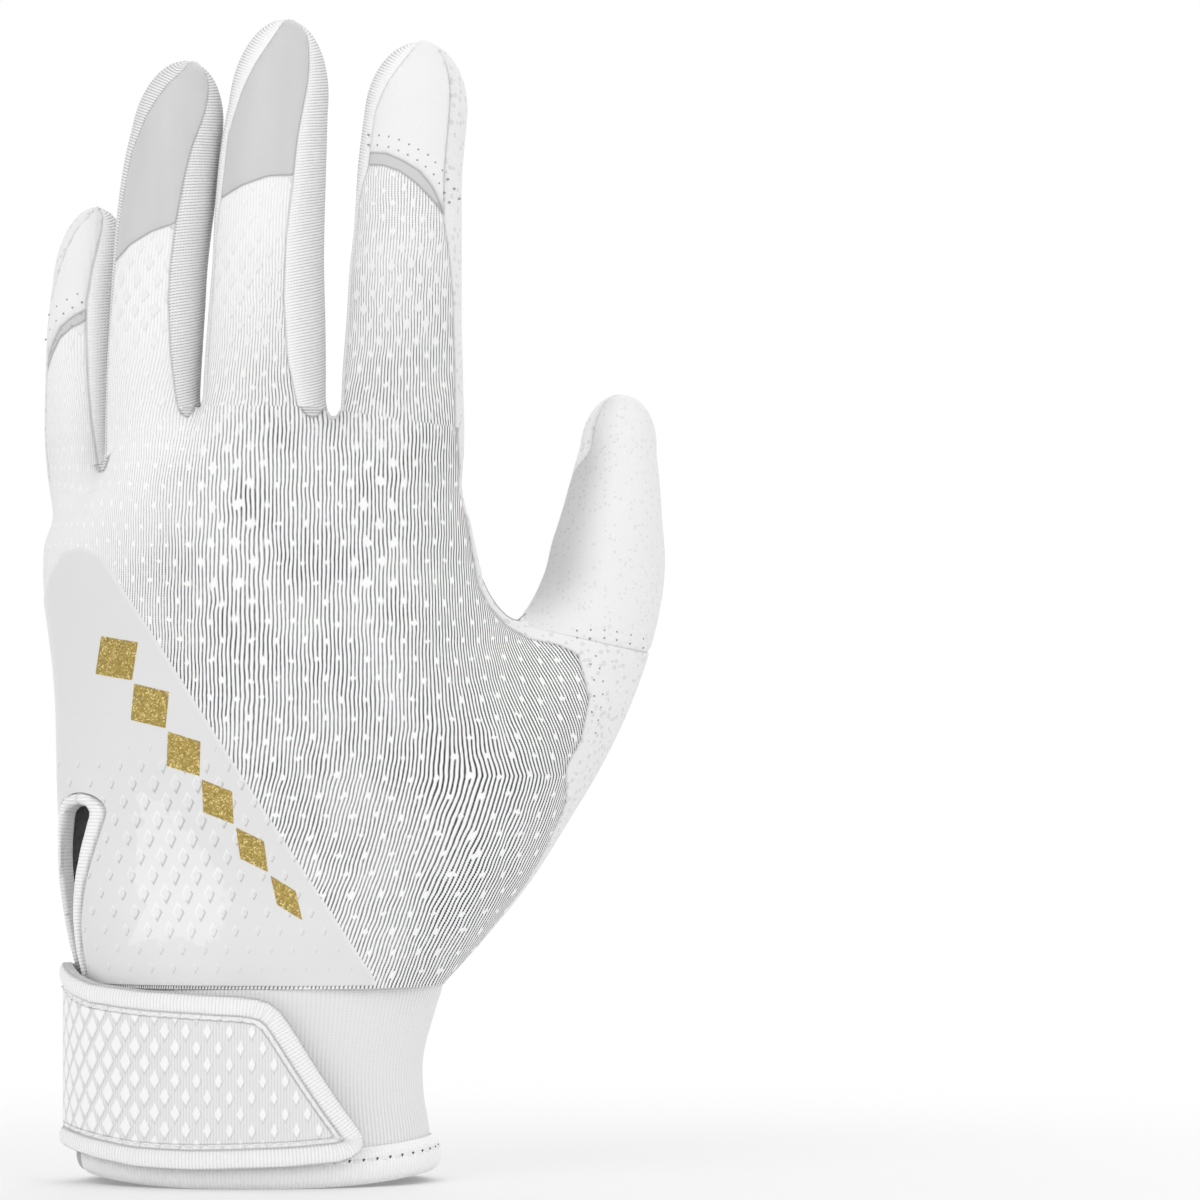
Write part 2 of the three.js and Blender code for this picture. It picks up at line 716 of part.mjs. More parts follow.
// Cuff: an oval tube, open at the slit
function cuffRing(offset, z, halfWidth = cuffHalfWidth) {
  const flare = cuffFlare * Math.abs((2 * z) / cuffHeight - 1) ** 2;
  return Array.from({ length: handSides }, (_, i) => {
    const angle = (2 * Math.PI * i) / handSides;
    const right = Math.cos(angle) > 0 ? flare * Math.cos(angle) : 0;
    const x = cuffMiddle + right + (halfWidth + offset) * Math.cos(angle);
    return vec(x, (cuffHalfDepth + offset) * Math.sin(angle), z);
  });
}
function cuffForm(offset, low, high) {
  const rows = 4;
  return loft(Array.from({ length: rows + 1 }, (_, i) => cuffRing(offset, low + ((high - low) * i) / rows)));
}
const opening = prism(
  [[openingMiddle - slotHalf, -cutOverrun], [openingMiddle + slotHalf, -cutOverrun],
    [openingMiddle + slotHalf, slitTop], [openingMiddle - slotHalf, slitTop]],
  origin, Y, Z, X, -wide, -cuffHalfWidth / 2,
);
const cuffHollow = cuffForm(-leatherWall, -cutOverrun, cuffHeight + cutOverrun);
const cuff = cuffForm(0, hemHeight + seamGap, cuffHeight).subtract(cuffHollow).subtract(opening);
const hem = cuffForm(hemExtra, 0, hemHeight).subtract(cuffHollow).subtract(opening);
addPiece("cuff_knit", largest(cuff), "ribbed");
addPiece("cuff_hem", largest(hem), "ribbed");

// Strap: layers wrapped round the cuff, within an outline of [angle share, height] points.
// A share of 0 is the little-finger edge and 1 the middle of the back.
const layers = {
  loop: [hemExtra + sheetGap, hemExtra + sheetGap + patchWall],
  hook: [hemExtra + sheetGap * 2 + patchWall, hemExtra + sheetGap * 2 + patchWall * 2],
  strap: [hemExtra + sheetGap * 3 + patchWall * 2, hemExtra + sheetGap * 3 + patchWall * 2 + strapWall],
};
function wrapped([low, high], fromY, toX, foot, top, slant) {
  const steps = 12;
  const side = (offset) => (share) => {
    const start = Math.asin(THREE.MathUtils.clamp(fromY / (cuffHalfDepth + offset), -1, 1));
    const end = -Math.acos((cuffMiddle - toX) / (cuffHalfWidth + offset));
    const angle = start + (end - start) * share;
    return [cuffMiddle - (cuffHalfWidth + offset) * Math.cos(angle), (cuffHalfDepth + offset) * Math.sin(angle)];
  };
  const rings = [];
  for (let i = 0; i <= steps; i++) {
    const share = i / steps;
    const [ax, ay] = side(low)(share);
    const [bx, by] = side(high)(share);
    const ceiling = top - slant(share);
    rings.push([vec(ax, ay, foot), vec(bx, by, foot), vec(bx, by, ceiling), vec(ax, ay, ceiling)]);
  }
  return loft(rings);
}
const seamY = -seamGap / 2;
const corner = (strapTop - strapFoot) * strapCornerShare;
const strapSlant = (share) => strapFall * share + smooth(share, 0.84, 1) * corner;
const strapWhole = wrapped(layers.strap, seamY, strapReach, strapFoot, strapTop, strapSlant);
const edgeSlant = (share) => strapSlant(share) + strapBinding;
const strapCore = wrapped(
  [layers.strap[0] - cutOverrun / 6, layers.strap[1] + cutOverrun / 6],
  cutOverrun, strapReach - strapBinding, strapFoot + strapBinding, strapTop, edgeSlant,
);
addPiece("strap_binding", largest(strapWhole.subtract(strapCore)), "ribbed");
const strapInner = wrapped(
  layers.strap, seamY, strapReach - strapBinding - seamGap, strapFoot + strapBinding + seamGap, strapTop - seamGap,
  edgeSlant,
);
addPiece("strap_tab", largest(strapInner.intersect(strapCore)), "knit");
const patchFoot = strapFoot + strapBinding;
const patchTop = strapTop * patchTopShare;
const level = () => 0;
const hookPatch = wrapped(layers.hook, -cuffHalfDepth * 0.86, strapReach - hookSetback, patchFoot, patchTop, level);
const loopPatch = wrapped(layers.loop, -cuffHalfDepth * 0.8, strapReach - loopSetback, patchFoot, patchTop, level);
addPiece("strap_hook", hookPatch, "hook");
addPiece("cuff_loop", loopPatch, "hook");
const anchor = wrapped(layers.strap, anchorLength, -cuffHalfWidth, strapFoot, strapTop, level);
const anchorSide = prism(
  [[seamGap / 2, 0], [wide, 0], [wide, strapTop * 2], [seamGap / 2, strapTop * 2]],
  origin, Y, Z, X, -wide, 0,
);
addPiece("strap_anchor", largest(anchor.intersect(anchorSide)), "ribbed");

// The origin goes to the middle of the bottom
const box = new THREE.Box3().setFromObject(glove);
const centre = box.getCenter(vec(0, 0, 0));
glove.position.set(-centre.x, -centre.y, -box.min.z);

export default glove;
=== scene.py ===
"""A left-hand batting glove, dressed over its frame: knit back, leather palm, cuff and strap."""

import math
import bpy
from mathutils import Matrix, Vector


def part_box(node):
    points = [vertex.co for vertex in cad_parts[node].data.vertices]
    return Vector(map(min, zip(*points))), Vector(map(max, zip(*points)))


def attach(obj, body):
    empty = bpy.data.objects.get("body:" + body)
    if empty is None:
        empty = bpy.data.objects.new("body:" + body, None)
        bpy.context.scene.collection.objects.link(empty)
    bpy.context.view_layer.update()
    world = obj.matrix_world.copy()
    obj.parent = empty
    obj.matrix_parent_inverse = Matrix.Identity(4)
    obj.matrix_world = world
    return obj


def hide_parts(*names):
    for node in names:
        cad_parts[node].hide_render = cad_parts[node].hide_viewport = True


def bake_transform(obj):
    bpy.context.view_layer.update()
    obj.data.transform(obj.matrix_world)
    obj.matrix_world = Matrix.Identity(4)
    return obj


bl_info = {
    "name": "Batting Glove",
    "version": (1, 0, 0),
    "blender": (4, 5, 0),
    "location": "View3D > Sidebar > Glove",
    "description": "Makes a knit and leather batting glove with its strap, and a plain studio round it",
    "category": "Object",
}

import bpy
import numpy as np
from mathutils import Vector
from bpy.props import FloatProperty, FloatVectorProperty, PointerProperty
from bpy.types import Operator, Panel, PropertyGroup

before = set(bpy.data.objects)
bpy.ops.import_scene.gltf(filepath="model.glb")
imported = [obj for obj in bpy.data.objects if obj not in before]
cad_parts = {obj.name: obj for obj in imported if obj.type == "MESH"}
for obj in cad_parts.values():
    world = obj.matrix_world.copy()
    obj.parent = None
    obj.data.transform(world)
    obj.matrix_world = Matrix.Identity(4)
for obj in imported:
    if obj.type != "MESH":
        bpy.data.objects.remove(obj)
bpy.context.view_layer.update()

# Working coordinates are millimetres: x to the thumb, y out of the palm, z up. This moves them to the frame's.
HEM_LEFT = -34.8
hem_low, hem_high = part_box("cuff_hem")
SHIFT = np.array([hem_low[0] * 1000 - HEM_LEFT, (hem_low[1] + hem_high[1]) * 500, 0.0])
FINGERS = ("index", "middle", "ring", "little")


# Curves and fields


def smooth(value, low, high):
    share = np.clip((value - low) / (high - low), 0, 1)
    return share * share * (3 - 2 * share)


def joined(a, b, radius):
    """The smaller of two fields, with a fillet of about that radius where they meet."""
    share = np.clip(0.5 + 0.5 * (b - a) / radius, 0, 1)
    return b * (1 - share) + a * share - radius * share * (1 - share)


def spline(rows, count):
    """Rows of numbers made dense by a smooth curve through them; the first column runs evenly."""
    rows = np.array(rows, float)
    place = rows[:, 0]
    dense = np.linspace(place[0], place[-1], count)
    slopes = np.gradient(rows, place, axis=0)
    index = np.clip(np.searchsorted(place, dense, side="right") - 1, 0, len(place) - 2)
    step = (place[index + 1] - place[index])[:, None]
    t = ((dense - place[index])[:, None]) / step
    a, b = rows[index], rows[index + 1]
    ta, tb = slopes[index] * step, slopes[index + 1] * step
    curve = (2 * t**3 - 3 * t**2 + 1) * a + (t**3 - 2 * t**2 + t) * ta + (3 * t**2 - 2 * t**3) * b + (t**3 - t**2) * tb
    curve[:, 0] = dense
    return curve


def inside(points, outline, along=False):
    """Signed distance of flat points to a closed outline, above 0 inside it, and the place along it if asked."""
    outline = np.array(outline, float)
    nearest = np.full(len(points), np.inf)
    place = np.zeros(len(points))
    start = 0.0
    crossings = np.zeros(len(points), int)
    for a, b in zip(outline, np.roll(outline, -1, axis=0)):
        edge = b - a
        away = points - a
        share = np.clip(away @ edge / max(edge @ edge, 1e-9), 0, 1)
        reach = np.hypot(*(away - share[:, None] * edge).T)
        place = np.where(reach < nearest, start + share * np.hypot(*edge), place)
        nearest = np.minimum(nearest, reach)
        start += np.hypot(*edge)
        spans = (a[1] > points[:, 1]) != (b[1] > points[:, 1])
        with np.errstate(divide="ignore", invalid="ignore"):
            across = a[0] + (points[:, 1] - a[1]) * edge[0] / edge[1]
        crossings += spans & (points[:, 0] < across)
    signed = np.where(crossings % 2 == 1, nearest, -nearest)
    return (signed, place) if along else signed


def beside(points, line):
    """Signed distance of flat points to an upward line, above 0 on its left."""
    line = np.array(line, float)
    low, high = line[0] - (0, 400), line[-1] + (0, 400)
    return inside(points, [low - (500, 0), low, *line, high, high - (500, 0)])


# Millimetres in a pixel, the row where the glove stands, and the column of x = 0 in the back view and the palm view
PIXEL, FOOT_ROW, BACK_COLUMN, PALM_COLUMN = 0.21, 1180, 249, 973


def drawn(*pixels):
    """Points read off the back view, in pixels, as (x, z) in millimetres."""
    return [((px - BACK_COLUMN) * PIXEL, (FOOT_ROW - py) * PIXEL) for px, py in pixels]


def palm_drawn(*pixels):
    """Points read off the palm view, in pixels, as (x, z) in millimetres."""
    return [((PALM_COLUMN - px) * PIXEL, (FOOT_ROW - py) * PIXEL) for px, py in pixels]


# The hand: share of height, left and right edge as shares of its half width, depth share, and follow of the webs
CUFF_TOP = 41.3
HAND_LENGTH = 120.5
HALF_WIDTH = 42
HALF_DEPTH = 14
SQUARENESS = 2.3
CUP_X, CUP_RADIUS, CUP_HEIGHTS = 5, 66, (45, 110)
HAND_ROWS = spline(
    [
        (0, -0.815, 0.97, 1.7, 0), (0.07, -0.87, 1.14, 1.56, 0), (0.17, -0.92, 1.33, 1.36, 0), (0.32, -0.97, 1.42, 1.2, 0),
        (0.49, -1.03, 1.42, 1.12, 0), (0.61, -1.09, 1.33, 1.07, 0), (0.7, -1.13, 1.19, 1.04, 0.1),
        (0.81, -1.13, 1.12, 1.0, 0.4), (0.9, -1.11, 1.08, 0.97, 0.8), (1, -1.09, 1.05, 0.93, 1),
    ],
    240,
)
WEB_TOPS = spline(
    [
        (-60, 136), (-50, 140.5), (-42, 145), (-35, 149.6), (-28, 154), (-14, 159.4), (0, 161.4), (14, 160.4), (30, 158.5),
        (46, 154), (70, 150),
    ],
    240,
)
WEB_LINE = [(-90, 143), (-43, 146), (-30.7, 151.5), (-13, 162.6), (14, 162.2), (43, 158), (57.5, 157)]
THUMB_LINE = [(57.5, 116.4), (83.2, 110.6), (120, 105)]


def hand_place(points):
    """Where points lie in the hand, with its cupping rolled flat: x, y, share of height, edges and half depth."""
    x, y, z = points.T
    bend = np.maximum(smooth(z, *CUP_HEIGHTS) / CUP_RADIUS, 1e-6)
    reach = 1 / bend - y
    rolled = x < CUP_X
    flat_x = np.where(rolled, CUP_X - np.arctan2(CUP_X - x, reach) / bend, x)
    flat_y = np.where(rolled, 1 / bend - np.hypot(CUP_X - x, reach), y)
    fall = CUFF_TOP + HAND_LENGTH - np.interp(flat_x, WEB_TOPS[:, 0], WEB_TOPS[:, 1])
    up = (z - CUFF_TOP) / HAND_LENGTH
    for _ in range(3):
        follow = np.interp(up, HAND_ROWS[:, 0], HAND_ROWS[:, 4])
        up = (z + follow * fall - CUFF_TOP) / HAND_LENGTH
    left, right, depth = (np.interp(up, HAND_ROWS[:, 0], HAND_ROWS[:, k]) for k in (1, 2, 3))
    return flat_x, flat_y, up, left * HALF_WIDTH, right * HALF_WIDTH, depth * HALF_DEPTH


def hand_form(points):
    flat_x, flat_y, up, left, right, depth = hand_place(points)
    u = np.abs((flat_x - (left + right) / 2) / ((right - left) / 2))
    top = np.maximum(up - 0.82, 0) / 0.18
    v = np.hypot(flat_y / depth, top)
    return (u**SQUARENESS + v**SQUARENESS) ** (1 / SQUARENESS) - 1


class Digit:
    """A finger or thumb: a bent centre line with oval sections and a round tip."""

    def __init__(self, rows, tip, back):
        dense = spline(rows, 200)
        self.height = dense[:, 0]
        self.centre = dense[:, [1, 2, 0]]
        self.wide, self.deep = dense[:, 3], dense[:, 4]
        steps = np.linalg.norm(np.diff(self.centre, axis=0), axis=1)
        self.run = np.concatenate([[0], np.cumsum(steps)])
        slope = np.gradient(self.centre, self.run, axis=0)
        self.slope = slope / np.linalg.norm(slope, axis=1)[:, None]
        self.tip = tip
        self.back = np.array(back, float) / np.linalg.norm(back)

    def at(self, run):
        held = np.clip(run, 0, self.run[-1])
        centre = np.stack([np.interp(held, self.run, column) for column in self.centre.T], 1)
        slope = np.stack([np.interp(held, self.run, column) for column in self.slope.T], 1)
        return centre + slope * (run - held)[:, None], slope

    def place(self, points):
        """Distance along, angle from the middle of the back, reach to the side and to the back, and the end's share."""
        run = np.interp(points[:, 2], self.height, self.run) + np.maximum(points[:, 2] - self.height[-1], 0)
        for _ in range(4):
            centre, slope = self.at(run)
            run = run + ((points - centre) * slope).sum(1)
        centre, slope = self.at(run)
        back = self.back - (slope @ self.back)[:, None] * slope
        back /= np.linalg.norm(back, axis=1)[:, None]
        away = points - centre
        outward = (away * back).sum(1)
        sideward = (away * np.cross(slope, back)).sum(1)
        end = np.maximum(run - self.run[-1], 0) / self.tip + np.maximum(-run, 0) / self.deep[0]
        return run, np.arctan2(sideward, outward), sideward, outward, end

    def form(self, points):
        run, _, sideward, outward, end = self.place(points)
        wide, deep = (np.interp(run, self.run, size) for size in (self.wide, self.deep))
        return (np.hypot(np.abs(sideward / wide), np.abs(outward / deep)) ** 2 + end**2) ** 0.5 - 1


def turned(degrees):
    angle = math.radians(degrees)
    return (-math.sin(angle), -math.cos(angle), 0)


# Rows: height, x, y, half width and half depth
digits = {
    "index": Digit(
        [
            (128, 31, 1, 8.5, 7.5), (148, 32.1, -0.4, 12.6, 10.3), (168, 32.2, -0.5, 12.8, 10.8),
            (180, 32.5, -0.3, 12.2, 10.6), (190, 32.8, 0.1, 11.9, 10.4), (200, 33.3, 0.8, 11.4, 10.1),
            (212, 33.7, 2, 11.1, 9.9), (224, 34.9, 3.4, 10.9, 9.4),
        ],
        15.6, turned(0),
    ),
    "middle": Digit(
        [
            (128, 2.6, 2.5, 9, 8), (148, 2.9, 0.4, 12.8, 10.6), (168, 3.3, 0.3, 13, 10.9), (181, 3.7, 0.5, 12.5, 10.8),
            (193, 4, 1, 11.9, 10.6), (206, 4.4, 2, 11.7, 10.3), (217, 5.1, 3.2, 11.3, 9.9), (226, 6, 4.4, 10.6, 9.5),
        ],
        18.6, turned(5),
    ),
    "ring": Digit(
        [
            (128, -20, 7, 7.5, 7.5), (148, -20.5, 5, 10, 9.7), (166, -20.4, 4.6, 10.1, 10), (181, -19.6, 4.8, 10.2, 10),
            (193, -18.9, 5.4, 10.2, 9.8), (206, -17.6, 6.3, 10.4, 9.7), (214, -16.6, 7.2, 10.2, 9.5),
            (220, -15.6, 8, 9.8, 9.2),
        ],
        16.2, turned(19),
    ),
    "little": Digit(
        [
            (118, -32.5, 13, 4, 4), (136, -34.4, 15.8, 7, 7), (154, -35.5, 17.6, 8.6, 8.8), (168, -35.4, 17.8, 8.7, 8.8),
            (180, -35.1, 18.4, 8.6, 8.5), (189, -34.4, 19.2, 8.3, 8.1),
        ],
        16.6, turned(30),
    ),
    "thumb": Digit(
        [
            (58, 32, 4, 10.9, 11), (80, 50, 8.4, 16.4, 15.6), (100, 63.4, 12.3, 15.8, 14.6), (114.5, 71, 15.2, 14, 13),
            (124.5, 74.3, 17, 13, 12.2), (132.5, 75.5, 18, 12.3, 11.6), (139, 76.2, 19, 10.9, 10.8),
            (147, 77, 20.2, 9.4, 9.8), (154, 77.6, 21.3, 8, 8.6),
        ],
        11.8, (0.496, -0.853, 0.05),
    ),
}
FILLETS = {"index": 5, "middle": 5, "ring": 5, "little": 5, "thumb": 11}


# Surfaces on a grid


class Grid:
    """Samples of a field on a box of cubes, read between them in straight lines."""

    def __init__(self, low, high, cell):
        self.low, self.cell = np.array(low, float), cell
        self.shape = tuple(np.ceil((np.array(high) - low) / cell).astype(int) + 1)
        self.values = None

    def points(self):
        axes = [self.low[k] + self.cell * np.arange(self.shape[k]) for k in range(3)]
        return np.stack(np.meshgrid(*axes, indexing="ij"), -1).reshape(-1, 3)

    def sample(self, form, size):
        """The field as a distance: the form over the length of its own slope."""
        raw = form(self.points()).reshape(self.shape)
        slope = np.sqrt(sum(part**2 for part in np.gradient(raw, self.cell)))
        return raw / np.maximum(slope, 0.4 / size)

    def finish(self, values):
        self.values = values
        self.slopes = np.gradient(values, self.cell)
        return self

    def read(self, points, table=None):
        table = self.values if table is None else table
        place = (points - self.low) / self.cell
        corner = np.clip(np.floor(place).astype(int), 0, np.array(self.shape) - 2)
        share = np.clip(place - corner, 0, 1)
        total = 0
        for step in np.ndindex(2, 2, 2):
            weight = np.prod(np.where(step, share, 1 - share), axis=1)
            total = total + weight * table[tuple((corner + step).T)]
        return total

    def normal(self, points):
        slope = np.stack([self.read(points, part) for part in self.slopes], 1)
        return slope / np.maximum(np.linalg.norm(slope, axis=1), 1e-9)[:, None]

    def settle(self, points, offset=0.0):
        """Points moved along the slope onto the surface."""
        for _ in range(3):
            points = points - self.normal(points) * (self.read(points) - offset)[:, None]
        return points

    def net(self):
        """A mesh of the surface: one point in each cube that it crosses."""
        field = self.values
        cubes = tuple(n - 1 for n in field.shape)
        total = np.zeros(cubes + (3,))
        count = np.zeros(cubes)
        quads = []
        index = np.full(cubes, -1)
        crossings = []
        for axis in range(3):
            a = np.moveaxis(field, axis, 0)[:-1]
            b = np.moveaxis(field, axis, 0)[1:]
            crossed = np.moveaxis((a < 0) != (b < 0), 0, axis)
            share = np.moveaxis(np.where((a < 0) != (b < 0), a / np.where(a == b, 1, a - b), 0), 0, axis)
            crossings.append((crossed, np.moveaxis(a < 0, 0, axis)))
            others = [k for k in range(3) if k != axis]
            for step in np.ndindex(2, 2):
                taken = [slice(None)] * 3
                for k, s in zip(others, step):
                    taken[k] = slice(s, s + cubes[k])
                hit, part = crossed[tuple(taken)], share[tuple(taken)]
                count += hit
                for k, s in zip(others, step):
                    total[..., k] += hit * s
                total[..., axis] += hit * part
        used = count > 0
        index[used] = np.arange(used.sum())
        corner = np.argwhere(used)
        points = self.low + self.cell * (corner + total[used] / count[used][:, None])
        for axis, (crossed, starts_in) in enumerate(crossings):
            j, k = [(axis + 1) % 3, (axis + 2) % 3]
            at = np.argwhere(crossed)
            at = at[(at[:, j] > 0) & (at[:, k] > 0) & (at[:, j] < cubes[j]) & (at[:, k] < cubes[k])]
            ring = []
            for dj, dk in ((-1, -1), (0, -1), (0, 0), (-1, 0)):
                cell = at.copy()
                cell[:, j] += dj
                cell[:, k] += dk
                ring.append(index[tuple(cell.T)])
            quad = np.stack(ring, 1)
            flip = ~starts_in[tuple(at.T)]
            quad[flip] = quad[flip][:, ::-1]
            quads.append(quad)
        quads = np.concatenate(quads)
        faces = np.concatenate([quads[:, [0, 1, 2]], quads[:, [0, 2, 3]]])
        points = self.settle(points)
        return Skin(points, faces, self.normal(points))


class Both:
    """A digit's grid above a height and the hand's below it."""

    def __init__(self, upper, lower, height):
        self.upper, self.lower, self.height = upper, lower, height
        self.low, self.cell = np.minimum(upper.low, lower.low), upper.cell
        self.shape = np.array((500, 500, 500))  # wide enough for both grids

    def read(self, points):
        return np.where(points[:, 2] > self.height, self.upper.read(points), self.lower.read(points))

    def normal(self, points):
        return np.where(points[:, 2:] > self.height, self.upper.normal(points), self.lower.normal(points))

    def settle(self, points):
        return np.where(points[:, 2:] > self.height, self.upper.settle(points), self.lower.settle(points))


class Skin:
    """Points in millimetres with faces and outward normals, and named values at each point."""

    def __init__(self, points, faces, normals, values=None):
        self.points, self.faces, self.normals = points, faces, normals
        self.values = dict(values or {})

    def table(self):
        return np.column_stack([self.points, self.normals] + [self.values[key] for key in self.values])

    def rebuilt(self, table, faces):
        used, faces = np.unique(faces, return_inverse=True)
        table = table[used]
        normals = table[:, 3:6] / np.maximum(np.linalg.norm(table[:, 3:6], axis=1), 1e-9)[:, None]
        values = {key: table[:, 6 + k] for k, key in enumerate(self.values)}
        return Skin(table[:, :3], faces.reshape(-1, 3), normals, values)

    def cut(self, key):
        """The part where a named value is above 0, with new points along the cut."""
        keep = np.where(np.abs(self.values[key]) < 1e-5, 1e-5, self.values[key])
        side = keep > 0
        count = side[self.faces].sum(1)
        table = self.table()
        pieces = [self.faces[count == 3]]
        edges = []
        for wanted, odd in ((1, True), (2, False)):
            faces = self.faces[count == wanted]
            first = np.argmax(side[faces] == odd, axis=1)
            a, b, c = (faces[np.arange(len(faces)), (first + k) % 3] for k in range(3))
            edges.append((a, b, c))
        ends = np.concatenate([np.stack([a, other], 1) for a, b, c in edges for other in (b, c)])
        ends.sort(axis=1)
        unique, which = np.unique(ends, axis=0, return_inverse=True)
        which = which.reshape(-1)
        share = keep[unique[:, 0]] / (keep[unique[:, 0]] - keep[unique[:, 1]])
        fresh = table[unique[:, 0]] + share[:, None] * (table[unique[:, 1]] - table[unique[:, 0]])
        which = which + len(table)
        (a, b, c), (d, e, f) = edges
        n, m = len(a), len(d)
        ab, ac, de, df = which[:n], which[n : 2 * n], which[2 * n : 2 * n + m], which[2 * n + m :]
        pieces += [np.stack([a, ab, ac], 1), np.stack([de, e, f], 1), np.stack([de, f, df], 1)]
        return self.rebuilt(np.concatenate([table, fresh]), np.concatenate(pieces))

    def refined(self, key):
        """The skin with each face near a named part cut in four."""
        near = (self.values[key][self.faces] > -2.5).any(1)
        skin = Skin(self.points, self.faces[near], self.normals, self.values)
        faces = skin.faces
        ends = np.sort(np.concatenate([faces[:, [0, 1]], faces[:, [1, 2]], faces[:, [2, 0]]]), axis=1)
        unique, which = np.unique(ends, axis=0, return_inverse=True)
        ab, bc, ca = which.reshape(3, -1) + len(self.points)
        a, b, c = faces.T
        faces = np.concatenate([np.stack(corner, 1) for corner in ((a, ab, ca), (ab, b, bc), (ca, bc, c), (ab, bc, ca))])
        table = self.table()
        return self.rebuilt(np.concatenate([table, (table[unique[:, 0]] + table[unique[:, 1]]) / 2]), faces)

    def part(self, limits, seams=()):
        """The part inside every limit. Its edge value is the distance to the nearest limit that is a seam."""
        skin = Skin(self.points, self.faces, self.normals, {**self.values, **limits})
        for key in limits:
            skin = skin.cut(key)
        near = [skin.values[key] for key in limits if key in seams]
        skin.values["edge"] = np.min(near, axis=0) if near else np.full(len(skin.points), 20.0)
        for key in limits:
            del skin.values[key]
        return skin

    def raised(self, height):
        points = self.points + self.normals * np.broadcast_to(height, len(self.points))[:, None]
        return Skin(points, self.faces, self.normals, self.values)

    def grooved(self, depth=0.4, width=0.8):
        """The skin drawn in along its seams."""
        return self.raised(-depth * np.exp(-((self.values["edge"] / width) ** 2)))


def walled(skin, depth):
    """The skin with an inner side a depth below it and walls along its rim, and each corner's normal."""
    count = len(skin.points)
    faces = skin.faces
    edges = np.concatenate([faces[:, [0, 1]], faces[:, [1, 2]], faces[:, [2, 0]]])
    code = edges[:, 0].astype(np.int64) * count + edges[:, 1]
    back = edges[:, 1].astype(np.int64) * count + edges[:, 0]
    rim = edges[~np.isin(code, back)]
    a, b = rim.T
    walls = np.concatenate([np.stack([b, a, a + count], 1), np.stack([b, a + count, b + count], 1)])
    points = np.concatenate([skin.points, skin.points - skin.normals * np.broadcast_to(depth, count)[:, None]])
    shown = np.concatenate([faces, faces[:, ::-1] + count, walls])
    corners = points[walls]
    flat = np.cross(corners[:, 1] - corners[:, 0], corners[:, 2] - corners[:, 0])
    flat /= np.maximum(np.linalg.norm(flat, axis=1), 1e-9)[:, None]
    normals = np.concatenate([skin.normals[faces], -skin.normals[faces[:, ::-1]], np.repeat(flat[:, None], 3, axis=1)])
    values = {key: np.tile(value, 2) for key, value in skin.values.items()}
    return points, shown, normals.reshape(-1, 3), values


def mesh_from(name, points, faces, corner_normals=None, values=None):
    """A mesh object at the origin, from points in millimetres. Across, up and shade become one attribute of threes, and
    edge one of single values.
    """
    mesh = bpy.data.meshes.new(name)
    count = len(faces)
    sides = faces.shape[1]
    mesh.vertices.add(len(points))
    mesh.vertices.foreach_set("co", ((points + SHIFT) / 1000).astype(np.float32).ravel())
    mesh.loops.add(count * sides)
    mesh.loops.foreach_set("vertex_index", faces.astype(np.int32).ravel())
    mesh.polygons.add(count)
    mesh.polygons.foreach_set("loop_start", (np.arange(count) * sides).astype(np.int32))
    mesh.update(calc_edges=True)
    mesh.polygons.foreach_set("use_smooth", np.ones(count, bool))
    values = dict(values or {})
    rest = mesh.attributes.new("rest", "FLOAT_VECTOR", "POINT")
    rest.data.foreach_set("vector", points.astype(np.float32).ravel())
    blank = np.zeros(len(points))
    # The third value of cloth is painted shade on the strips, the webs and the thumb.
    cloth = np.stack([values.get(key, blank) for key in ("across", "up", "shade")], 1)
    mesh.attributes.new("cloth", "FLOAT_VECTOR", "POINT").data.foreach_set("vector", cloth.astype(np.float32).ravel())
    edge = values.get("edge", np.full(len(points), 20.0))
    mesh.attributes.new("edge", "FLOAT", "POINT").data.foreach_set("value", edge.astype(np.float32))
    if corner_normals is not None:
        mesh.normals_split_custom_set(corner_normals.tolist())
    mesh.validate()
    piece = bpy.data.objects.new(name, mesh)
    bpy.context.scene.collection.objects.link(piece)
    return piece


BLENDS = {
    "index": ((30, 0, 163), (33, 0, 183)), "middle": ((3, 0, 163), (4, 0, 183)), "ring": ((-21, 5, 163), (-20, 5, 183)),
    "little": ((-36, 17, 152), (-36, 17, 168)), "thumb": ((72, 15, 116.5), (75, 18, 134)),
}


def dress(piece, body, material, nodes=()):
    """Gives a piece its material and slot, and puts it on its body; a digit's piece only has its transform applied and
    is put on no body.
    """
    piece.data.materials.append(bpy.data.materials[material])
    if body in BLENDS:
        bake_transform(piece)
    else:
        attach(piece, body)
    if nodes:
        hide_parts(*nodes)
    return piece


def panel_piece(name, skin, depth, body, material, nodes=()):
    points, faces, normals, values = walled(skin, depth)
    return dress(mesh_from(name, points, faces, normals, values), body, material, nodes)


# Outlines of the panels, seen from the back unless they say otherwise
KNIT_EDGE = drawn(
    (443, 209), (447, 220), (453, 260), (456, 300), (458, 367), (459, 433), (461, 470), (466, 500), (470, 530), (475, 560),
    (480, 585), (491, 606), (508, 625), (530, 638), (558, 644), (578, 653), (590, 698), (582, 739), (567, 767), (567, 808),
    (556, 838), (580, 870), (600, 1020),
)
CAP_LINES = {
    "middle": drawn((200, 212), (219, 200), (243, 187), (270, 178), (295, 177), (330, 186)),
    "ring": drawn((95, 282), (113, 262), (130, 245), (153, 232), (177, 224), (215, 222)),
}
VENT_TOPS = {
    "index": drawn((330, 153), (368, 153), (387, 155), (403, 162), (420, 172), (433, 187), (443, 207)) + KNIT_EDGE[1:8],
    "little": drawn((36, 368), (47, 340), (55, 325), (67, 315), (82, 307), (115, 299)),
}
VENT_FEET = {
    "index": drawn((330, 166), (367, 166), (383, 167), (400, 173), (417, 185), (430, 198), (441, 211)) + KNIT_EDGE[1:8],
    "little": drawn((36, 380), (47, 351), (55, 336), (67, 326), (82, 319), (115, 312)),
}
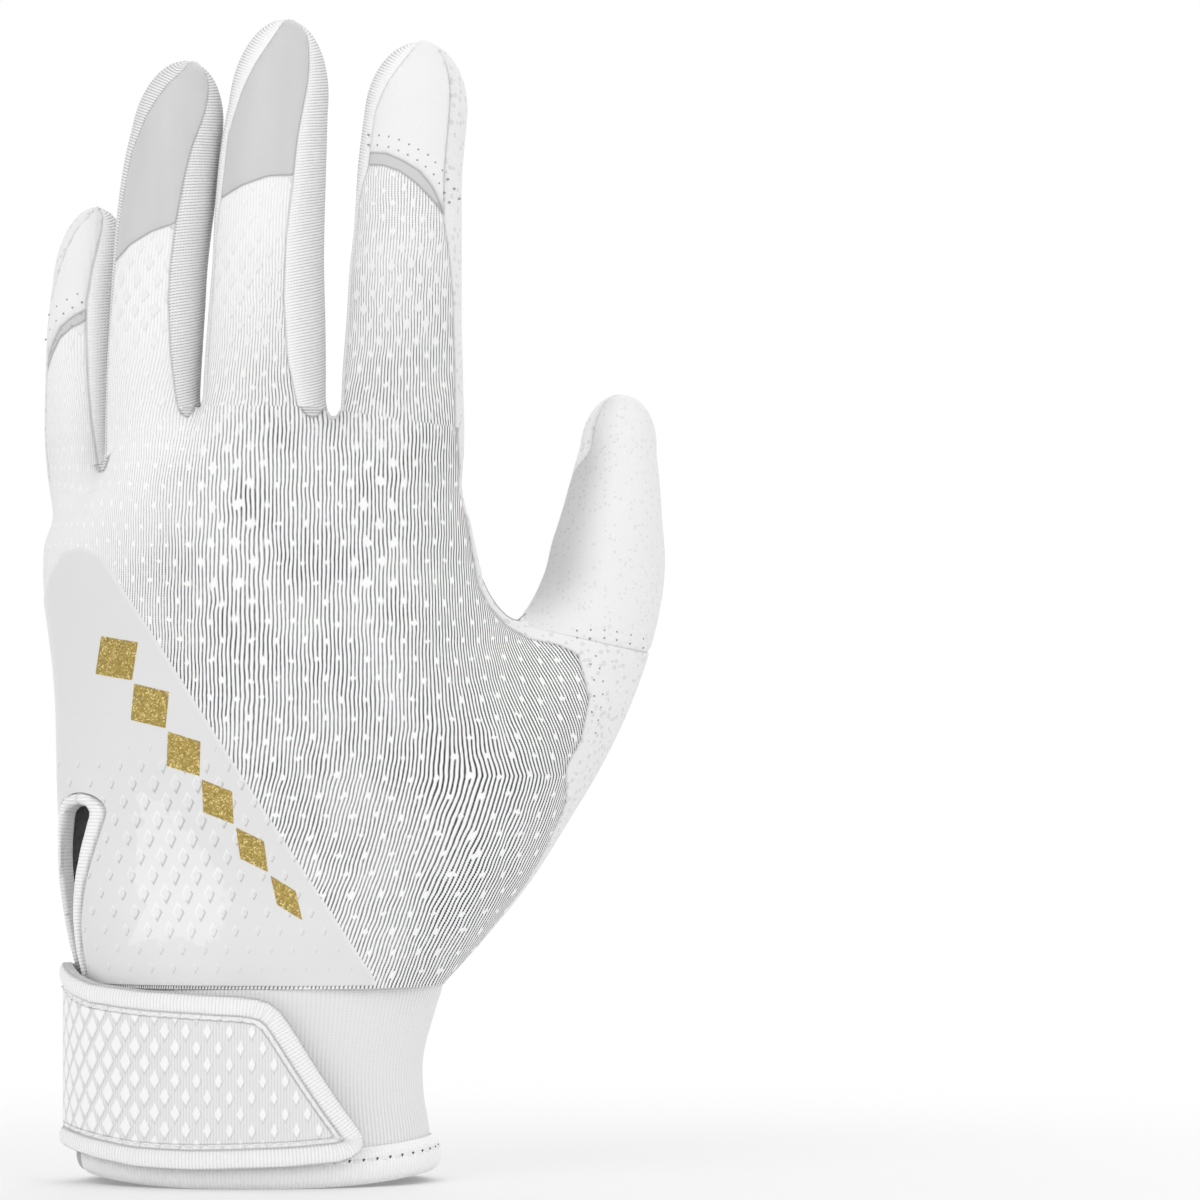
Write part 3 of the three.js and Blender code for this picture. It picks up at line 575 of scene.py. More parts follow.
STRIP_EDGES = {
    "middle": drawn(
        (318, 24), (312, 53), (302, 133), (297, 183), (290, 240), (288, 300), (293, 360), (302, 400), (310, 440),
    ),
    "ring": drawn(
        (216, 50), (210, 72), (203, 110), (193, 147), (185, 183), (177, 227), (172, 267), (170, 300), (172, 350), (177, 393),
        (185, 440),
    ),
    "little": drawn(
        (102, 190), (98, 213), (92, 240), (87, 267), (83, 300), (83, 333), (85, 383), (88, 417), (93, 450), (97, 480),
    ),
}
CAP_EDGES = {
    "index": drawn((399, 40), (393, 55), (380, 83), (373, 113), (369, 147), (366, 170), (358, 200), (349, 250), (344, 330)),
    "little": drawn((88, 190), (60, 225), (44, 300), (40, 400)),
    "middle": drawn((268, 14), (263, 28), (247, 63), (237, 97), (227, 133), (222, 173), (219, 200), (214, 240)),
    "ring": drawn((176, 54), (170, 65), (153, 83), (140, 117), (130, 150), (122, 187), (116, 227), (113, 262), (110, 300)),
}
TWISTS = {"index": 0, "middle": 5, "ring": 19, "little": 30}

# The ribs' sideways shift at each height, and the side seam's place from front to back at each height
RIB_LEAN = [(40, 55, 65, 75, 85, 95, 240), (-43, -28, -18.5, -10, -3.3, 0, 0)]
SIDE_SEAM = [(41, 79, 95, 110, 148), (-4, -4, -1.5, 0, -2.3)]
WEB_PATCH = palm_drawn((738, 578), (754, 606), (802, 653), (802, 670), (722, 644), (690, 630), (680, 590))
CELL = 1.1


def front(points):
    return points[:, [0, 2]]


def line_height(points, line):
    """Height above a line drawn from left to right, measured square to the line."""
    line = np.array(line)
    shape = [line[0] - (60, 0), *line, line[-1] + (60, -260), line[-1] + (60, 200), (line[0][0] - 60, line[-1][1] + 200)]
    return inside(front(points), shape)


def edge_angle(name, points, line):
    """The angle from the middle of a digit's back at which a drawn line runs, at each point's height."""
    digit = digits[name]
    line = np.array(sorted(line, key=lambda point: point[1]))
    centre = np.interp(line[:, 1], digit.height, digit.centre[:, 0])
    wide = np.interp(line[:, 1], digit.height, digit.wide)
    angle = np.arcsin(np.clip((line[:, 0] - centre) / wide, -0.96, 0.96)) + math.radians(TWISTS[name])
    return np.interp(points[:, 2], line[:, 1], angle)


def sector(angle, start, end, reach):
    """Distance inside a sector that runs from one angle round to another."""
    middle, half = (start + end) / 2, (end - start) / 2
    away = (angle - middle + math.pi) % (2 * math.pi) - math.pi
    return (half - np.abs(away)) * reach


def web_height(x):
    """Height of the line that parts the digits from the hand."""
    line = np.array(WEB_LINE)
    thumb = np.array(THUMB_LINE)
    return np.where(x < 57.5, np.interp(x, line[:, 0], line[:, 1]), np.interp(x, thumb[:, 0], thumb[:, 1]))


def rib_place(x):
    """Place across the ribs: they lie further apart in the middle of the hand than at its sides."""
    return 0.84 * (x - 12) + (x - 12) ** 3 * np.where(np.asarray(x) > 12, -1e-5, 2.2e-4)


def knit_values(points, angle=None, name=None):
    """Place in the knit, in millimetres across the ribs and up them."""
    x, _, z = points.T
    flat_x, flat_y, _, _, _, depth = hand_place(points)
    across = rib_place(flat_x) - 0.3 * np.interp(z, *RIB_LEAN) + 0.45 * smooth(x, 34, 64) * np.clip(z - 101, -16, 12)
    side = np.clip(np.abs((flat_x - 1.35) / 44), 0, 1.2) ** 3
    across = across + np.sign(flat_x - 1.35) * (flat_y + depth) * side * 0.35
    if name:
        digit = digits[name]
        base = digit.centre[np.searchsorted(digit.height, 160), 0]
        wide = np.interp(z, digit.height, digit.wide)
        own = rib_place(base) + wide * (angle - math.radians(TWISTS[name]))
        across = across + (own - across) * smooth(z, 150, 178)
    return {"across": across, "up": z}


nets = {}


def make_nets():
    """The hand's skin, with the digits' roots in it, and each digit's skin above the webs."""
    cell = CELL * 1
    grid = Grid((-52, -32, 34), (98, 52, 172), cell)
    hand = grid.sample(hand_form, HALF_DEPTH)
    whole = hand
    for name, digit in digits.items():
        whole = np.minimum(whole, joined(hand, grid.sample(digit.form, digit.wide[0]), FILLETS[name]))
    nets["grid"] = grid.finish(whole)
    skin = grid.net()
    skin.values = knit_values(skin.points)
    skin.values["low"] = skin.points[:, 2] - CUFF_TOP
    skin.values["web"] = web_height(skin.points[:, 0]) - skin.points[:, 2]
    nets["hand"] = skin.cut("low").cut("web")
    for name, digit in digits.items():
        top = digit.centre[-1]
        foot = 106 if name == "thumb" else 136
        low = digit.centre[digit.height > foot].min(0) - digit.wide.max() - 6
        high = digit.centre[digit.height > foot].max(0) + digit.wide.max() + 6
        low[2], high[2] = foot, top[2] + digit.tip + 3
        grid = Grid(low, high, cell)
        field = joined(grid.sample(hand_form, HALF_DEPTH), grid.sample(digit.form, digit.wide[0]), FILLETS[name])
        grid.finish(field)
        skin = grid.net()
        skin.values["web"] = skin.points[:, 2] - web_height(skin.points[:, 0])
        skin = skin.cut("web")
        angle = digit.place(skin.points)[1]
        skin.values.update(knit_values(skin.points, angle, None if name == "thumb" else name), angle=angle)
        nets[name] = skin
        nets[name + "_whole"] = Both(grid, nets["grid"], 160 if name in FINGERS else 116)


# Panels of the fingers and thumb


def finger_parts(name):
    """Each panel's limits on a finger's skin, all above 0 inside it, and how far round each strip a point lies."""
    skin = nets[name]
    points = skin.points
    angle = skin.values["angle"]
    reach = float(digits[name].wide.mean())
    left = edge_angle(name, points, CAP_EDGES[name])
    right = edge_angle(name, points, STRIP_EDGES.get(name, KNIT_EDGE[1:7]))
    far_left = np.full(len(points), math.radians(-125)) if name != "little" else left
    far_right = np.full(len(points), math.radians(115)) if name != "index" else right
    back = sector(angle, left, right, reach)
    parts = {}
    if name in CAP_LINES:
        top = line_height(points, CAP_LINES[name])
        parts["cap"] = {"back": back, "top": top}
        parts["back"] = {"back": back, "top": -top}
    else:
        top, foot = line_height(points, VENT_TOPS[name]), line_height(points, VENT_FEET[name])
        parts["tip"] = {"back": back, "top": top}
        parts["vent"] = {"back": back, "top": -top, "foot": foot}
        parts["back"] = {"back": back, "foot": -foot}
    shares = {}
    if name != "index":
        parts["strip_thumb_side"] = {"strip": sector(angle, right, far_right, reach)}
        shares["strip_thumb_side"] = (angle - right) / (far_right - right)
    if name != "little":
        parts["strip_little_side"] = {"strip": sector(angle, far_left, left, reach)}
        shares["strip_little_side"] = (left - angle) / (left - far_left)
    parts["palm"] = {"palm": sector(angle, far_right, far_left + 2 * math.pi, reach)}
    return parts, shares


def strip_values(name, share):
    """Ribs across a strip: their place runs up the finger and falls slightly to one side. The share becomes the strip's
    painted shade.
    """
    skin = nets[name]
    run, angle, *_ = digits[name].place(skin.points)
    reach = digits[name].wide.mean()
    return {**skin.values, "across": run - 0.22 * np.abs(angle) * reach, "up": angle * reach, "shade": np.clip(share, 0, 1)}


DIGIT_LOOKS = {
    "back": ("knit", "Knit"), "cap": ("grey_film", "Smooth cap"), "vent": ("grey_film", "Smooth cap"),
    "tip": ("leather", "Smooth leather"), "palm": ("leather", "Pebbled leather"),
    "strip_thumb_side": ("ribbed", "Ribbed strip"), "strip_little_side": ("ribbed", "Ribbed strip"),
}
# Painted shade: the least shade of some strips, and the shade of the webs between the fingers.
STRIP_SHADES = {"ring_strip_little_side": 0.45, "ring_strip_thumb_side": 0.4, "middle_strip_thumb_side": 0.15}
WEB_SHADE = 0.75
HEIGHTS = {"cap": 0.12, "tip": 0.35, "vent": -0.1, "strip_thumb_side": -0.15, "strip_little_side": -0.15}


def make_finger(name, wall):
    parts, shares = finger_parts(name)
    for part, limits in parts.items():
        slot, material = DIGIT_LOOKS[part]
        source = nets[name]
        if part in shares:
            # Painted shade over the strip, from its least value up to full as it turns round the finger.
            least = STRIP_SHADES.get(f"{name}_{part}", 0)
            values = strip_values(name, least + (1 - least) * shares[part])
            source = Skin(source.points, source.faces, source.normals, values)
        skin = source.part(limits, seams=set(limits))
        height = HEIGHTS.get(part, 0)
        rim = smooth(skin.values["edge"], 0, 0.9)
        skin = skin.raised(height * rim - 0.3 * (1 - rim))
        nodes = [f"{name}_{part}"]
        if part == "palm":
            nodes.append(f"{name}_crease")
        panel_piece(f"{name}_{part}_panel", skin, wall, name, material, nodes)


def make_thumb(wall):
    """The thumb's seam shows at the tip, on the web side, and runs out of sight round the side below it."""
    skin = nets["thumb"]
    angle, height = skin.values["angle"], skin.points[:, 2]
    reach = float(digits["thumb"].wide.mean())
    left, right = np.radians(44 * smooth(height, 147, 154) - 122), math.radians(100)
    # Painted shade on the thumb's back-left facet, fading out towards the seam, the foot of the thumb and its tip.
    shade = smooth(-np.degrees(angle), 28, 75) * (1 - smooth(-np.degrees(angle), 104, 121))
    skin.values["shade"] = shade * smooth(height, 112, 128) * (1 - 0.6 * smooth(height, 150, 162))
    parts = {
        "back": {"side": sector(angle, left, right, reach), "foot": skin.values["web"] + 0.01},
        "palm": {"side": sector(angle, right, left + 2 * math.pi, reach)},
    }
    for part, limits in parts.items():
        panel = skin.part(limits, seams={"side", "foot"}).grooved(0.45, 0.8)
        material = "Thumb leather" if part == "back" else "Pebbled leather"
        nodes = [f"thumb_{part}"] + (["thumb_crease"] if part == "palm" else [])
        panel_piece(f"thumb_{part}_panel", panel, wall, "thumb", material, nodes)


# Panels of the hand

SLOT_Y, SLOT_HALF, SLOT_TOP = -4.0, 2.5, 76.5
WEB_NOTCH = [(15.3, 166), (16.6, 159), (19.9, 151.2), (22.8, 159), (24, 166)]
WEBS = {"ring_little": (-31.3, 148.9, 1.2, 13), "middle_ring": (-13, 160.3, 0.8, 5), "index_middle": (13.7, 160.0, 0.36, 4)}


def slot_distance(points):
    """Distance from the edge of the slit in the little-finger side."""
    across = np.abs(points[:, 1] - SLOT_Y)
    away = np.hypot(across, np.maximum(points[:, 2] - SLOT_TOP, 0)) - SLOT_HALF
    return np.where(points[:, 0] < 0, away, 60.0)


def hand_parts():
    skin = nets["hand"]
    points = skin.points
    x, y, z = points.T
    flat_y = hand_place(points)[1]
    back = np.interp(np.where(x < 0, z, np.maximum(z, 110)), *SIDE_SEAM) - flat_y
    knit = np.minimum(back, beside(front(points), KNIT_EDGE[::-1]))
    slot = slot_distance(points)
    rises = [
        np.minimum((z - low - steep * (x - middle) ** 2) / np.hypot(1, 2 * steep * (x - middle)), deepest - y)
        for middle, low, steep, deepest in WEBS.values()
    ]
    notch = np.where(y > 0, inside(front(points), WEB_NOTCH), -9)
    webs = np.maximum(np.max(rises, axis=0), notch)
    mesh = np.minimum(inside(front(points), WEB_PATCH), 5 * skin.normals[:, 1] + 0.5)
    open_ = {"slot": slot - 2.4, "webs": -webs}
    return {
        "knit": {"knit": knit, **open_},
        "palm": {"palm": -knit, "mesh": -mesh, **open_},
        "slit": {"slit": 2.4 - slot, "slot": slot},
        "mesh": {"mesh": mesh},
        **{f"web_{name}": {"web": webs, "near": 12 - np.abs(x - WEBS[name][0])} for name in WEBS},
    }


SHIELD = drawn(
    (30, 620), (46, 575), (60, 553), (80, 547), (103, 556), (160, 640), (240, 765), (378, 974), (380, 1010), (30, 1010),
)
MOTIF_START, MOTIF_END = (-30.8, 114.6), (12.4, 54.9)
MOTIF_LENGTH, MOTIF_COUNT, MOTIF_WIDTH = 73.5, 6, 12


def lozenge_row(points):
    """Distance inside a row of lozenges of falling size."""
    start, end = np.array(MOTIF_START), np.array(MOTIF_END)
    run = (end - start) / np.linalg.norm(end - start)
    across = np.array([-run[1], run[0]])
    away = front(points) - start
    u, v = away @ run, away @ across
    best = np.full(len(points), -9.0)
    half = MOTIF_LENGTH / MOTIF_COUNT / 2
    for k in range(MOTIF_COUNT):
        wide = MOTIF_WIDTH / 2 * (1 - 0.66 * (2 * k + 1) / MOTIF_COUNT / 2)
        share = 1 - np.abs(u - half * (2 * k + 1)) / (half * 0.93) - np.abs(v) / wide
        best = np.maximum(best, share * half * wide / math.hypot(half, wide))
    return best


FOLDS = [
    palm_drawn((697, 656), (690, 690), (688, 722)), palm_drawn((706, 656), (712, 690), (722, 716)),
    palm_drawn((682, 652), (668, 670), (650, 680)),
]


def folds(points):
    """How far the palm leather stands out in the soft folds that run from the thumb's web."""
    total = np.zeros(len(points))
    for start, middle, end in np.array(FOLDS):
        for a, b, low, high in ((start, middle, 0.3, 1), (middle, end, 1, 0)):
            edge, away = b - a, front(points) - a
            share = np.clip(away @ edge / (edge @ edge), 0, 1)
            reach = np.linalg.norm(away - share[:, None] * edge, axis=1)
            total = np.maximum(total, (low + (high - low) * share) * np.exp(-((reach / 1.7) ** 2)))
    return 0.8 * total * (points[:, 1] > 3)


def make_hand(wall):
    limits = hand_parts()
    skin = nets["hand"]
    knit = skin.part(limits["knit"], seams={"knit", "slot", "webs"}).grooved(0.35, 0.7)
    panel_piece("back_knit_panel", knit, wall, "hand", "Knit", ["back_knit"])
    palm = skin.part(limits["palm"], seams={"palm", "slot", "webs", "mesh"}).grooved(0.35, 0.7)
    palm = palm.raised(folds(palm.points))
    panel_piece("palm_panel", palm, wall, "hand", "Pebbled leather", ["palm_leather"])
    mesh = skin.part(limits["mesh"], seams={"mesh"}).raised(-0.25)
    panel_piece("thumb_web_mesh", mesh, wall, "hand", "Mesh patch", ["gusset_thumb_web"])
    for name in WEBS:
        web = skin.part(limits[f"web_{name}"], seams={"web"}).raised(-0.2)
        # Painted shade on the webs between the fingers.
        web.values["across"], web.values["shade"] = web.points[:, 2], np.full(len(web.points), WEB_SHADE)
        panel_piece(f"web_{name}", web, wall, "hand", "Ribbed strip", [f"gusset_{name}"])


def make_slit_binding(wall):
    limits = hand_parts()["slit"]
    skin = nets["hand"].part(limits, seams={"slit", "slot"})
    points = skin.points
    side = np.sign(points[:, 1] - SLOT_Y)
    skin.values["across"] = points[:, 2] + 5 * side
    share = np.clip(skin.values["edge"] / 1.2, 0, 1)
    skin = skin.raised(1.15 * np.sqrt(1 - (1 - share) ** 2) - 0.1)
    away = skin.points[:, 1] - SLOT_Y
    skin.points[:, 1] -= 0.62 * away * (1 - smooth(np.abs(away), 1.5, 4.5))
    panel_piece("slit_binding_tape", skin, wall + 0.9, "hand", "Binding", ["slit_binding"])


def make_shield():
    skin = nets["hand"]
    points = skin.points
    limits = {
        "shield": inside(front(points), SHIELD),
        "back": np.interp(points[:, 2], *SIDE_SEAM) - hand_place(points)[1],
        "slot": slot_distance(points) - 2.45,
        "foot": points[:, 2] - 42,
    }
    film = skin.part(limits, seams={"shield"})
    film.values["across"], film.values["up"] = film.points[:, 0], film.points[:, 2]
    film = film.raised(0.3 * smooth(film.values["edge"], -0.1, 0.7))
    panel_piece("shield_film", film, 0.25, "hand", "Shield film", ["back_shield"])
    fine = Skin(points, skin.faces, skin.normals, {**skin.values, "row": lozenge_row(points)}).refined("row").refined("row")
    row = fine.part({"row": lozenge_row(fine.points), "back": -hand_place(fine.points)[1]}, seams={"row"})
    row = row.raised(0.34 + 0.22 * smooth(row.values["edge"], 0, 0.5))
    panel_piece("gold_lozenges", row, 0.3, "hand", "Gold print", ["shield_motif"])


# Palm pads

UPPER_PAD = palm_drawn(
    (772, 500), (785, 478), (803, 461), (845, 468), (901, 482), (962, 492), (1003, 509), (1044, 530), (1091, 550),
    (1113, 571), (1117, 593), (1115, 634), (1105, 665), (1084, 674), (1072, 663), (1019, 640), (962, 618), (908, 602),
    (860, 590), (824, 579), (774, 562), (768, 530),
)
HEEL_PAD = palm_drawn(
    (1003, 711), (1030, 703), (1058, 700), (1084, 700), (1098, 708), (1102, 722), (1094, 761), (1071, 862), (1052, 950),
    (1037, 973), (1003, 974), (977, 966), (965, 955), (962, 940), (961, 826), (961, 755), (964, 738), (974, 729),
)
PADS = {"upper_pad": UPPER_PAD, "heel_pad": HEEL_PAD}
PAD_CROWN = 7  # millimetres from a pad's rim to its full height
CLOTH_PRESSURE, CLOTH_STEPS = 4.0, 20


def pinned_cloth(name, skin, pins, pressure, reach):
    """The skin blown up by a cloth simulation, with its rim held and no point moved further than the reach."""
    piece = mesh_from(name, skin.points, skin.faces)
    group = piece.vertex_groups.new(name="rim")
    for index in np.nonzero(pins > 0)[0]:
        group.add([int(index)], float(pins[index]), "REPLACE")
    cloth = piece.modifiers.new("swell", "CLOTH")
    settings = cloth.settings
    settings.quality = 6
    settings.mass = 0.02
    settings.tension_stiffness = settings.compression_stiffness = 12
    settings.bending_stiffness = 0.08
    settings.effector_weights.gravity = 0
    settings.use_pressure = True
    settings.uniform_pressure_force = pressure
    settings.vertex_group_mass = "rim"
    cloth.collision_settings.use_collision = False
    cloth.collision_settings.use_self_collision = False
    cloth.point_cache.frame_start, cloth.point_cache.frame_end = 1, CLOTH_STEPS
    scene = bpy.context.scene
    for step in range(1, CLOTH_STEPS + 1):
        scene.frame_set(step)
    shaped = piece.evaluated_get(bpy.context.evaluated_depsgraph_get()).to_mesh()
    moved = np.empty(len(skin.points) * 3, np.float32)
    shaped.vertices.foreach_get("co", moved)
    scene.frame_set(1)
    bpy.data.objects.remove(piece)
    shift = moved.reshape(-1, 3) * 1000 - SHIFT - skin.points
    length = np.linalg.norm(shift, axis=1)
    shift *= (np.minimum(length, reach) / np.maximum(length, 1e-6))[:, None]
    return shift


def make_pad(name, outline, height, wall):
    skin = nets["hand"]
    limits = {"pad": inside(front(skin.points), outline), "palm": skin.points[:, 1] - 2}
    cover = skin.part(limits, seams={"pad"})
    edge = cover.values["edge"]
    crown = np.sqrt(1 - (1 - np.clip(edge / PAD_CROWN, 0, 1)) ** 2)
    base = cover.points
    cover = cover.raised(0.5 + (height - 0.5) * 0.55 * crown)
    pins = np.clip(1.4 - edge / 2.2, 0, 1)
    cover.points = cover.points + pinned_cloth(name + "_cloth", cover, pins, CLOTH_PRESSURE, height * 0.45)
    nets[name] = base, nets["grid"].read(cover.points) - 0.25
    cover = cover.refined("edge")
    cover = cover.raised(-0.6 * np.exp(-(((cover.values["edge"] - 1.7) / 0.6) ** 2)))
    cover.normals = face_normals(cover)
    points, faces, normals, values = walled(cover, wall)
    piece = mesh_from(f"{name}_leather", points, faces, normals, values)
    dress(piece, "hand", "Pebbled leather", [f"{name}_cover"])
    foam = skin.part({**limits, "pad": limits["pad"] - 2.2}, seams={"pad"})
    rise = np.sqrt(1 - (1 - np.clip(foam.values["edge"] / PAD_CROWN, 0, 1)) ** 2)
    foam = foam.raised(0.35 + (height - 1.9) * rise)
    panel = panel_piece(f"{name}_filling", foam, 0.3, "hand", "Foam", [f"{name}_foam"])


def face_normals(skin):
    """Normals at the points from the faces round them."""
    a, b, c = (skin.points[skin.faces[:, k]] for k in range(3))
    flat = np.cross(b - a, c - a)
    total = np.zeros_like(skin.points)
    for k in range(3):
        np.add.at(total, skin.faces[:, k], flat)
    return total / np.maximum(np.linalg.norm(total, axis=1), 1e-9)[:, None]


# Cuff and strap: an oval tube, with an angle of 0 at the little-finger edge, running over the back

CUFF_X, CUFF_WIDE, CUFF_DEEP = 1.2, 35.3, 24.0
FLARE = spline([(-2, 1.6), (4, 1.7), (10, 1.2), (17, 0.15), (25, 0.1), (33.6, 2.1), (41.3, 4.6), (46, 7)], 80)


def oval(angle, height, offset):
    flare = np.interp(height, *FLARE.T) * np.maximum(-np.cos(angle), 0) ** 1.5
    x = CUFF_X - (CUFF_WIDE + offset) * np.cos(angle) + flare
    y = -(CUFF_DEEP + offset) * np.sin(angle)
    lift = 2.4 * np.abs(np.cos(angle)) ** 3 * (1 - np.clip(height / 41, 0, 1))
    return np.stack([x, y, height + lift], -1)


ROUND = np.linspace(-math.pi, 3 * math.pi, 2000)
ring_steps = np.linalg.norm(np.diff(oval(ROUND, 20.0, 4.0), axis=0), axis=1)
ROUND_LENGTH = np.concatenate([[0], np.cumsum(ring_steps)])
ROUND_LENGTH -= np.interp(0, ROUND, ROUND_LENGTH)


def strap_drawn(*pixels):
    """Points read off the strap in the back view, as (length round the cuff, height)."""
    points = []
    for x, z in drawn(*pixels):
        angle = math.acos(min(max((CUFF_X - x) / (CUFF_WIDE + 4), -1), 1))
        points.append((float(np.interp(angle, ROUND, ROUND_LENGTH)), z))
    return points


def oval_sheet(start, end, low, high, offset, step=0.9):
    """A sheet on the cuff's oval between two lengths round it and two heights; across is the length, up the height."""
    lengths = np.linspace(start, end, max(int((end - start) / step), 2))
    heights = np.linspace(low, high, max(int((high - low) / step), 2))
    across, up = (part.ravel() for part in np.meshgrid(lengths, heights, indexing="ij"))
    angle = np.interp(across, ROUND_LENGTH, ROUND)
    points = oval(angle, up, offset(across, up) if callable(offset) else offset)
    rows, columns = len(lengths), len(heights)
    index = np.arange(rows * columns).reshape(rows, columns)
    a, b, c, d = index[:-1, :-1].ravel(), index[1:, :-1].ravel(), index[1:, 1:].ravel(), index[:-1, 1:].ravel()
    faces = np.concatenate([np.stack([a, b, c], 1), np.stack([a, c, d], 1)])
    skin = Skin(points, faces, points * 0, {"across": across, "up": up})
    skin.normals = face_normals(skin)
    if (skin.normals * (points - np.array([CUFF_X, 0, 0])))[:, :2].sum() < 0:
        skin.faces, skin.normals = skin.faces[:, ::-1], -skin.normals
    return skin


STRAP = strap_drawn(
    (69, 962), (80, 972), (100, 979), (150, 984), (210, 987), (248, 989), (263, 991), (275, 995), (285, 1003), (294, 1016),
    (315, 1050), (341, 1092), (357, 1118), (362, 1128), (363, 1137), (359, 1145), (350, 1151), (338, 1154), (290, 1157),
    (200, 1160), (145, 1160), (74, 1153),
)
STRAP_FULL = [(-30, STRAP[0][1]), *STRAP, (-30, STRAP[-1][1])]
SLIT_BACK, SLIT_PALM = (float(np.interp(angle, ROUND, ROUND_LENGTH)) for angle in (0.274, 2 * math.pi + 0.0625))
LOOP_SHAPE = [(9, 11), (66, 11), (66, 26), (60, 34), (9, 34)]
HOOK_SHAPE = [(12, 12), (62, 12), (62, 24), (55, 33), (12, 33)]


def strap_shape(skin):
    """Points of a sheet laid flat, as (length round the cuff, height)."""
    return np.stack([skin.values["across"], skin.values["up"]], 1)


def hem_offset(across, up):
    """A round tape with a groove for its stitches."""
    share = np.clip((up - 3.9) / 3.9, -1, 1)
    return 0.4 + 1.7 * np.sqrt(np.maximum(1 - share**2, 0)) - 0.45 * np.exp(-(((up - 5.2) / 0.5) ** 2))


def make_cuff(wall):
    cuff = oval_sheet(SLIT_BACK, SLIT_PALM, 7.6, 41.2, lambda s, z: -0.35 * np.exp(-(((z - 41) / 0.8) ** 2)))
    panel_piece("cuff_knit_tube", cuff, wall, "hand", "Cuff knit", ["cuff_knit"])
    hem = oval_sheet(SLIT_BACK, SLIT_PALM, 0.02, 7.8, hem_offset, 0.65)
    panel_piece("cuff_hem_tape", hem, 1.6, "hand", "Hem tape", ["cuff_hem"])
    loop = oval_sheet(8, 66, 10, 35, 1.5)
    loop = loop.part({"pad": inside(strap_shape(loop), LOOP_SHAPE)}, seams={"pad"})
    panel_piece("cuff_loop_patch", loop, 0.9, "hand", "Loop pile", ["cuff_loop"])


def make_strap(wall, width):
    sheet = oval_sheet(0.15, max(s for s, _ in STRAP) + 3, 2, 48, 4.6, 0.6)
    edge, place = inside(strap_shape(sheet), STRAP_FULL, along=True)
    sheet.values["place"] = place
    core = sheet.part({"core": edge - width + 0.2, "hinge": sheet.values["across"] - 0.2}, seams={"core"})
    core = core.raised(0.1 + 0.25 * smooth(core.values["edge"], 0, 1.2))
    panel_piece("strap_knit_panel", core, wall, "strap", "Strap knit", ["strap_tab"])
    bounds = {"outer": edge, "inner": width - edge, "hinge": sheet.values["across"] - 0.2}
    tape = sheet.part(bounds, seams={"outer", "inner"})
    share = np.clip(tape.values["edge"] / (width / 2), 0, 1)
    thick = 1.0 * smooth(tape.values["across"], 0.3, 3.2)
    tape.values["across"] = tape.values["place"]
    tape = tape.raised(0.15 + thick * np.sqrt(1 - (1 - share) ** 2))
    panel_piece("strap_tape", tape, wall + 0.3, "strap", "Binding", ["strap_binding"])
    hook = oval_sheet(10, 64, 10, 35, 2.8)
    hook = hook.part({"pad": inside(strap_shape(hook), HOOK_SHAPE)}, seams={"pad"})
    panel_piece("strap_hook_patch", hook, 0.7, "strap", "Hook patch", ["strap_hook"])
    top = STRAP[0][1]
    anchor = oval_sheet(-13, -0.15, 2, 48, lambda s, z: 0.5 + 4.1 * smooth(s, -11, -3), 0.6)
    sewn = inside(strap_shape(anchor), [(-12.5, 6), (3, 6), (3, top), (-12.5, top - 1)])
    anchor = anchor.part({"sewn": sewn}, seams={"sewn"})
    anchor = anchor.raised(0.1 + 0.25 * smooth(anchor.values["edge"], 0, 1.2))
    panel_piece("strap_anchor_panel", anchor, wall, "hand", "Cuff knit", ["strap_anchor"])


# Thread, stitch holes and vents

PALM_SIDE, BACK_SIDE = 1, -1


def drop(grid, flat, side):
    """Flat (x, z) points dropped onto the surface from one side, with their normals."""
    flat = np.asarray(flat, float)
    depths = side * np.arange(60, -60, -0.8)
    found = np.full(len(flat), np.nan)
    high = grid.low + grid.cell * np.array(grid.shape)
    for depth in depths:
        at = np.column_stack([flat[:, 0], np.full(len(flat), depth), flat[:, 1]])
        found[np.isnan(found) & (grid.read(at) < 0) & np.all((at > grid.low) & (at < high), axis=1)] = depth
    sound = ~np.isnan(found)
    points = np.column_stack([flat[sound, 0], found[sound] + side * 0.4, flat[sound, 1]])
    points = grid.settle(points)
    return points, grid.normal(points)


def even_steps(points, step, closed=False):
    """A line through flat points, in even steps, with its corners rounded a little."""
    points = np.array(points, float)
    if closed:
        points = np.vstack([points, points[:1]])
    for _ in range(2):
        cut = np.empty((len(points) * 2 - 2, points.shape[1]))
        cut[0::2], cut[1::2] = 0.8 * points[:-1] + 0.2 * points[1:], 0.2 * points[:-1] + 0.8 * points[1:]
        points = np.vstack([cut, cut[:1]]) if closed else np.vstack([points[:1], cut, points[-1:]])
    length = np.concatenate([[0], np.cumsum(np.linalg.norm(np.diff(points, axis=0), axis=1))])
    count = max(int(length[-1] / step), 2)
    places = np.linspace(0, length[-1], count + 1)
    return np.column_stack([np.interp(places, length, column) for column in points.T])


def inset(outline, distance):
    """A closed outline moved inward."""
    outline = np.array(outline, float)
    ahead = np.roll(outline, -1, axis=0) - np.roll(outline, 1, axis=0)
    normal = np.column_stack([-ahead[:, 1], ahead[:, 0]]) / np.maximum(np.linalg.norm(ahead, axis=1), 1e-9)[:, None]
    middle = outline.mean(0)
    flip = np.sign(((middle - outline) * normal).sum(1).sum())
    return outline + normal * flip * distance


RING = np.array([(math.cos(a), math.sin(a)) for a in np.linspace(0, 2 * math.pi, 6, endpoint=False)])


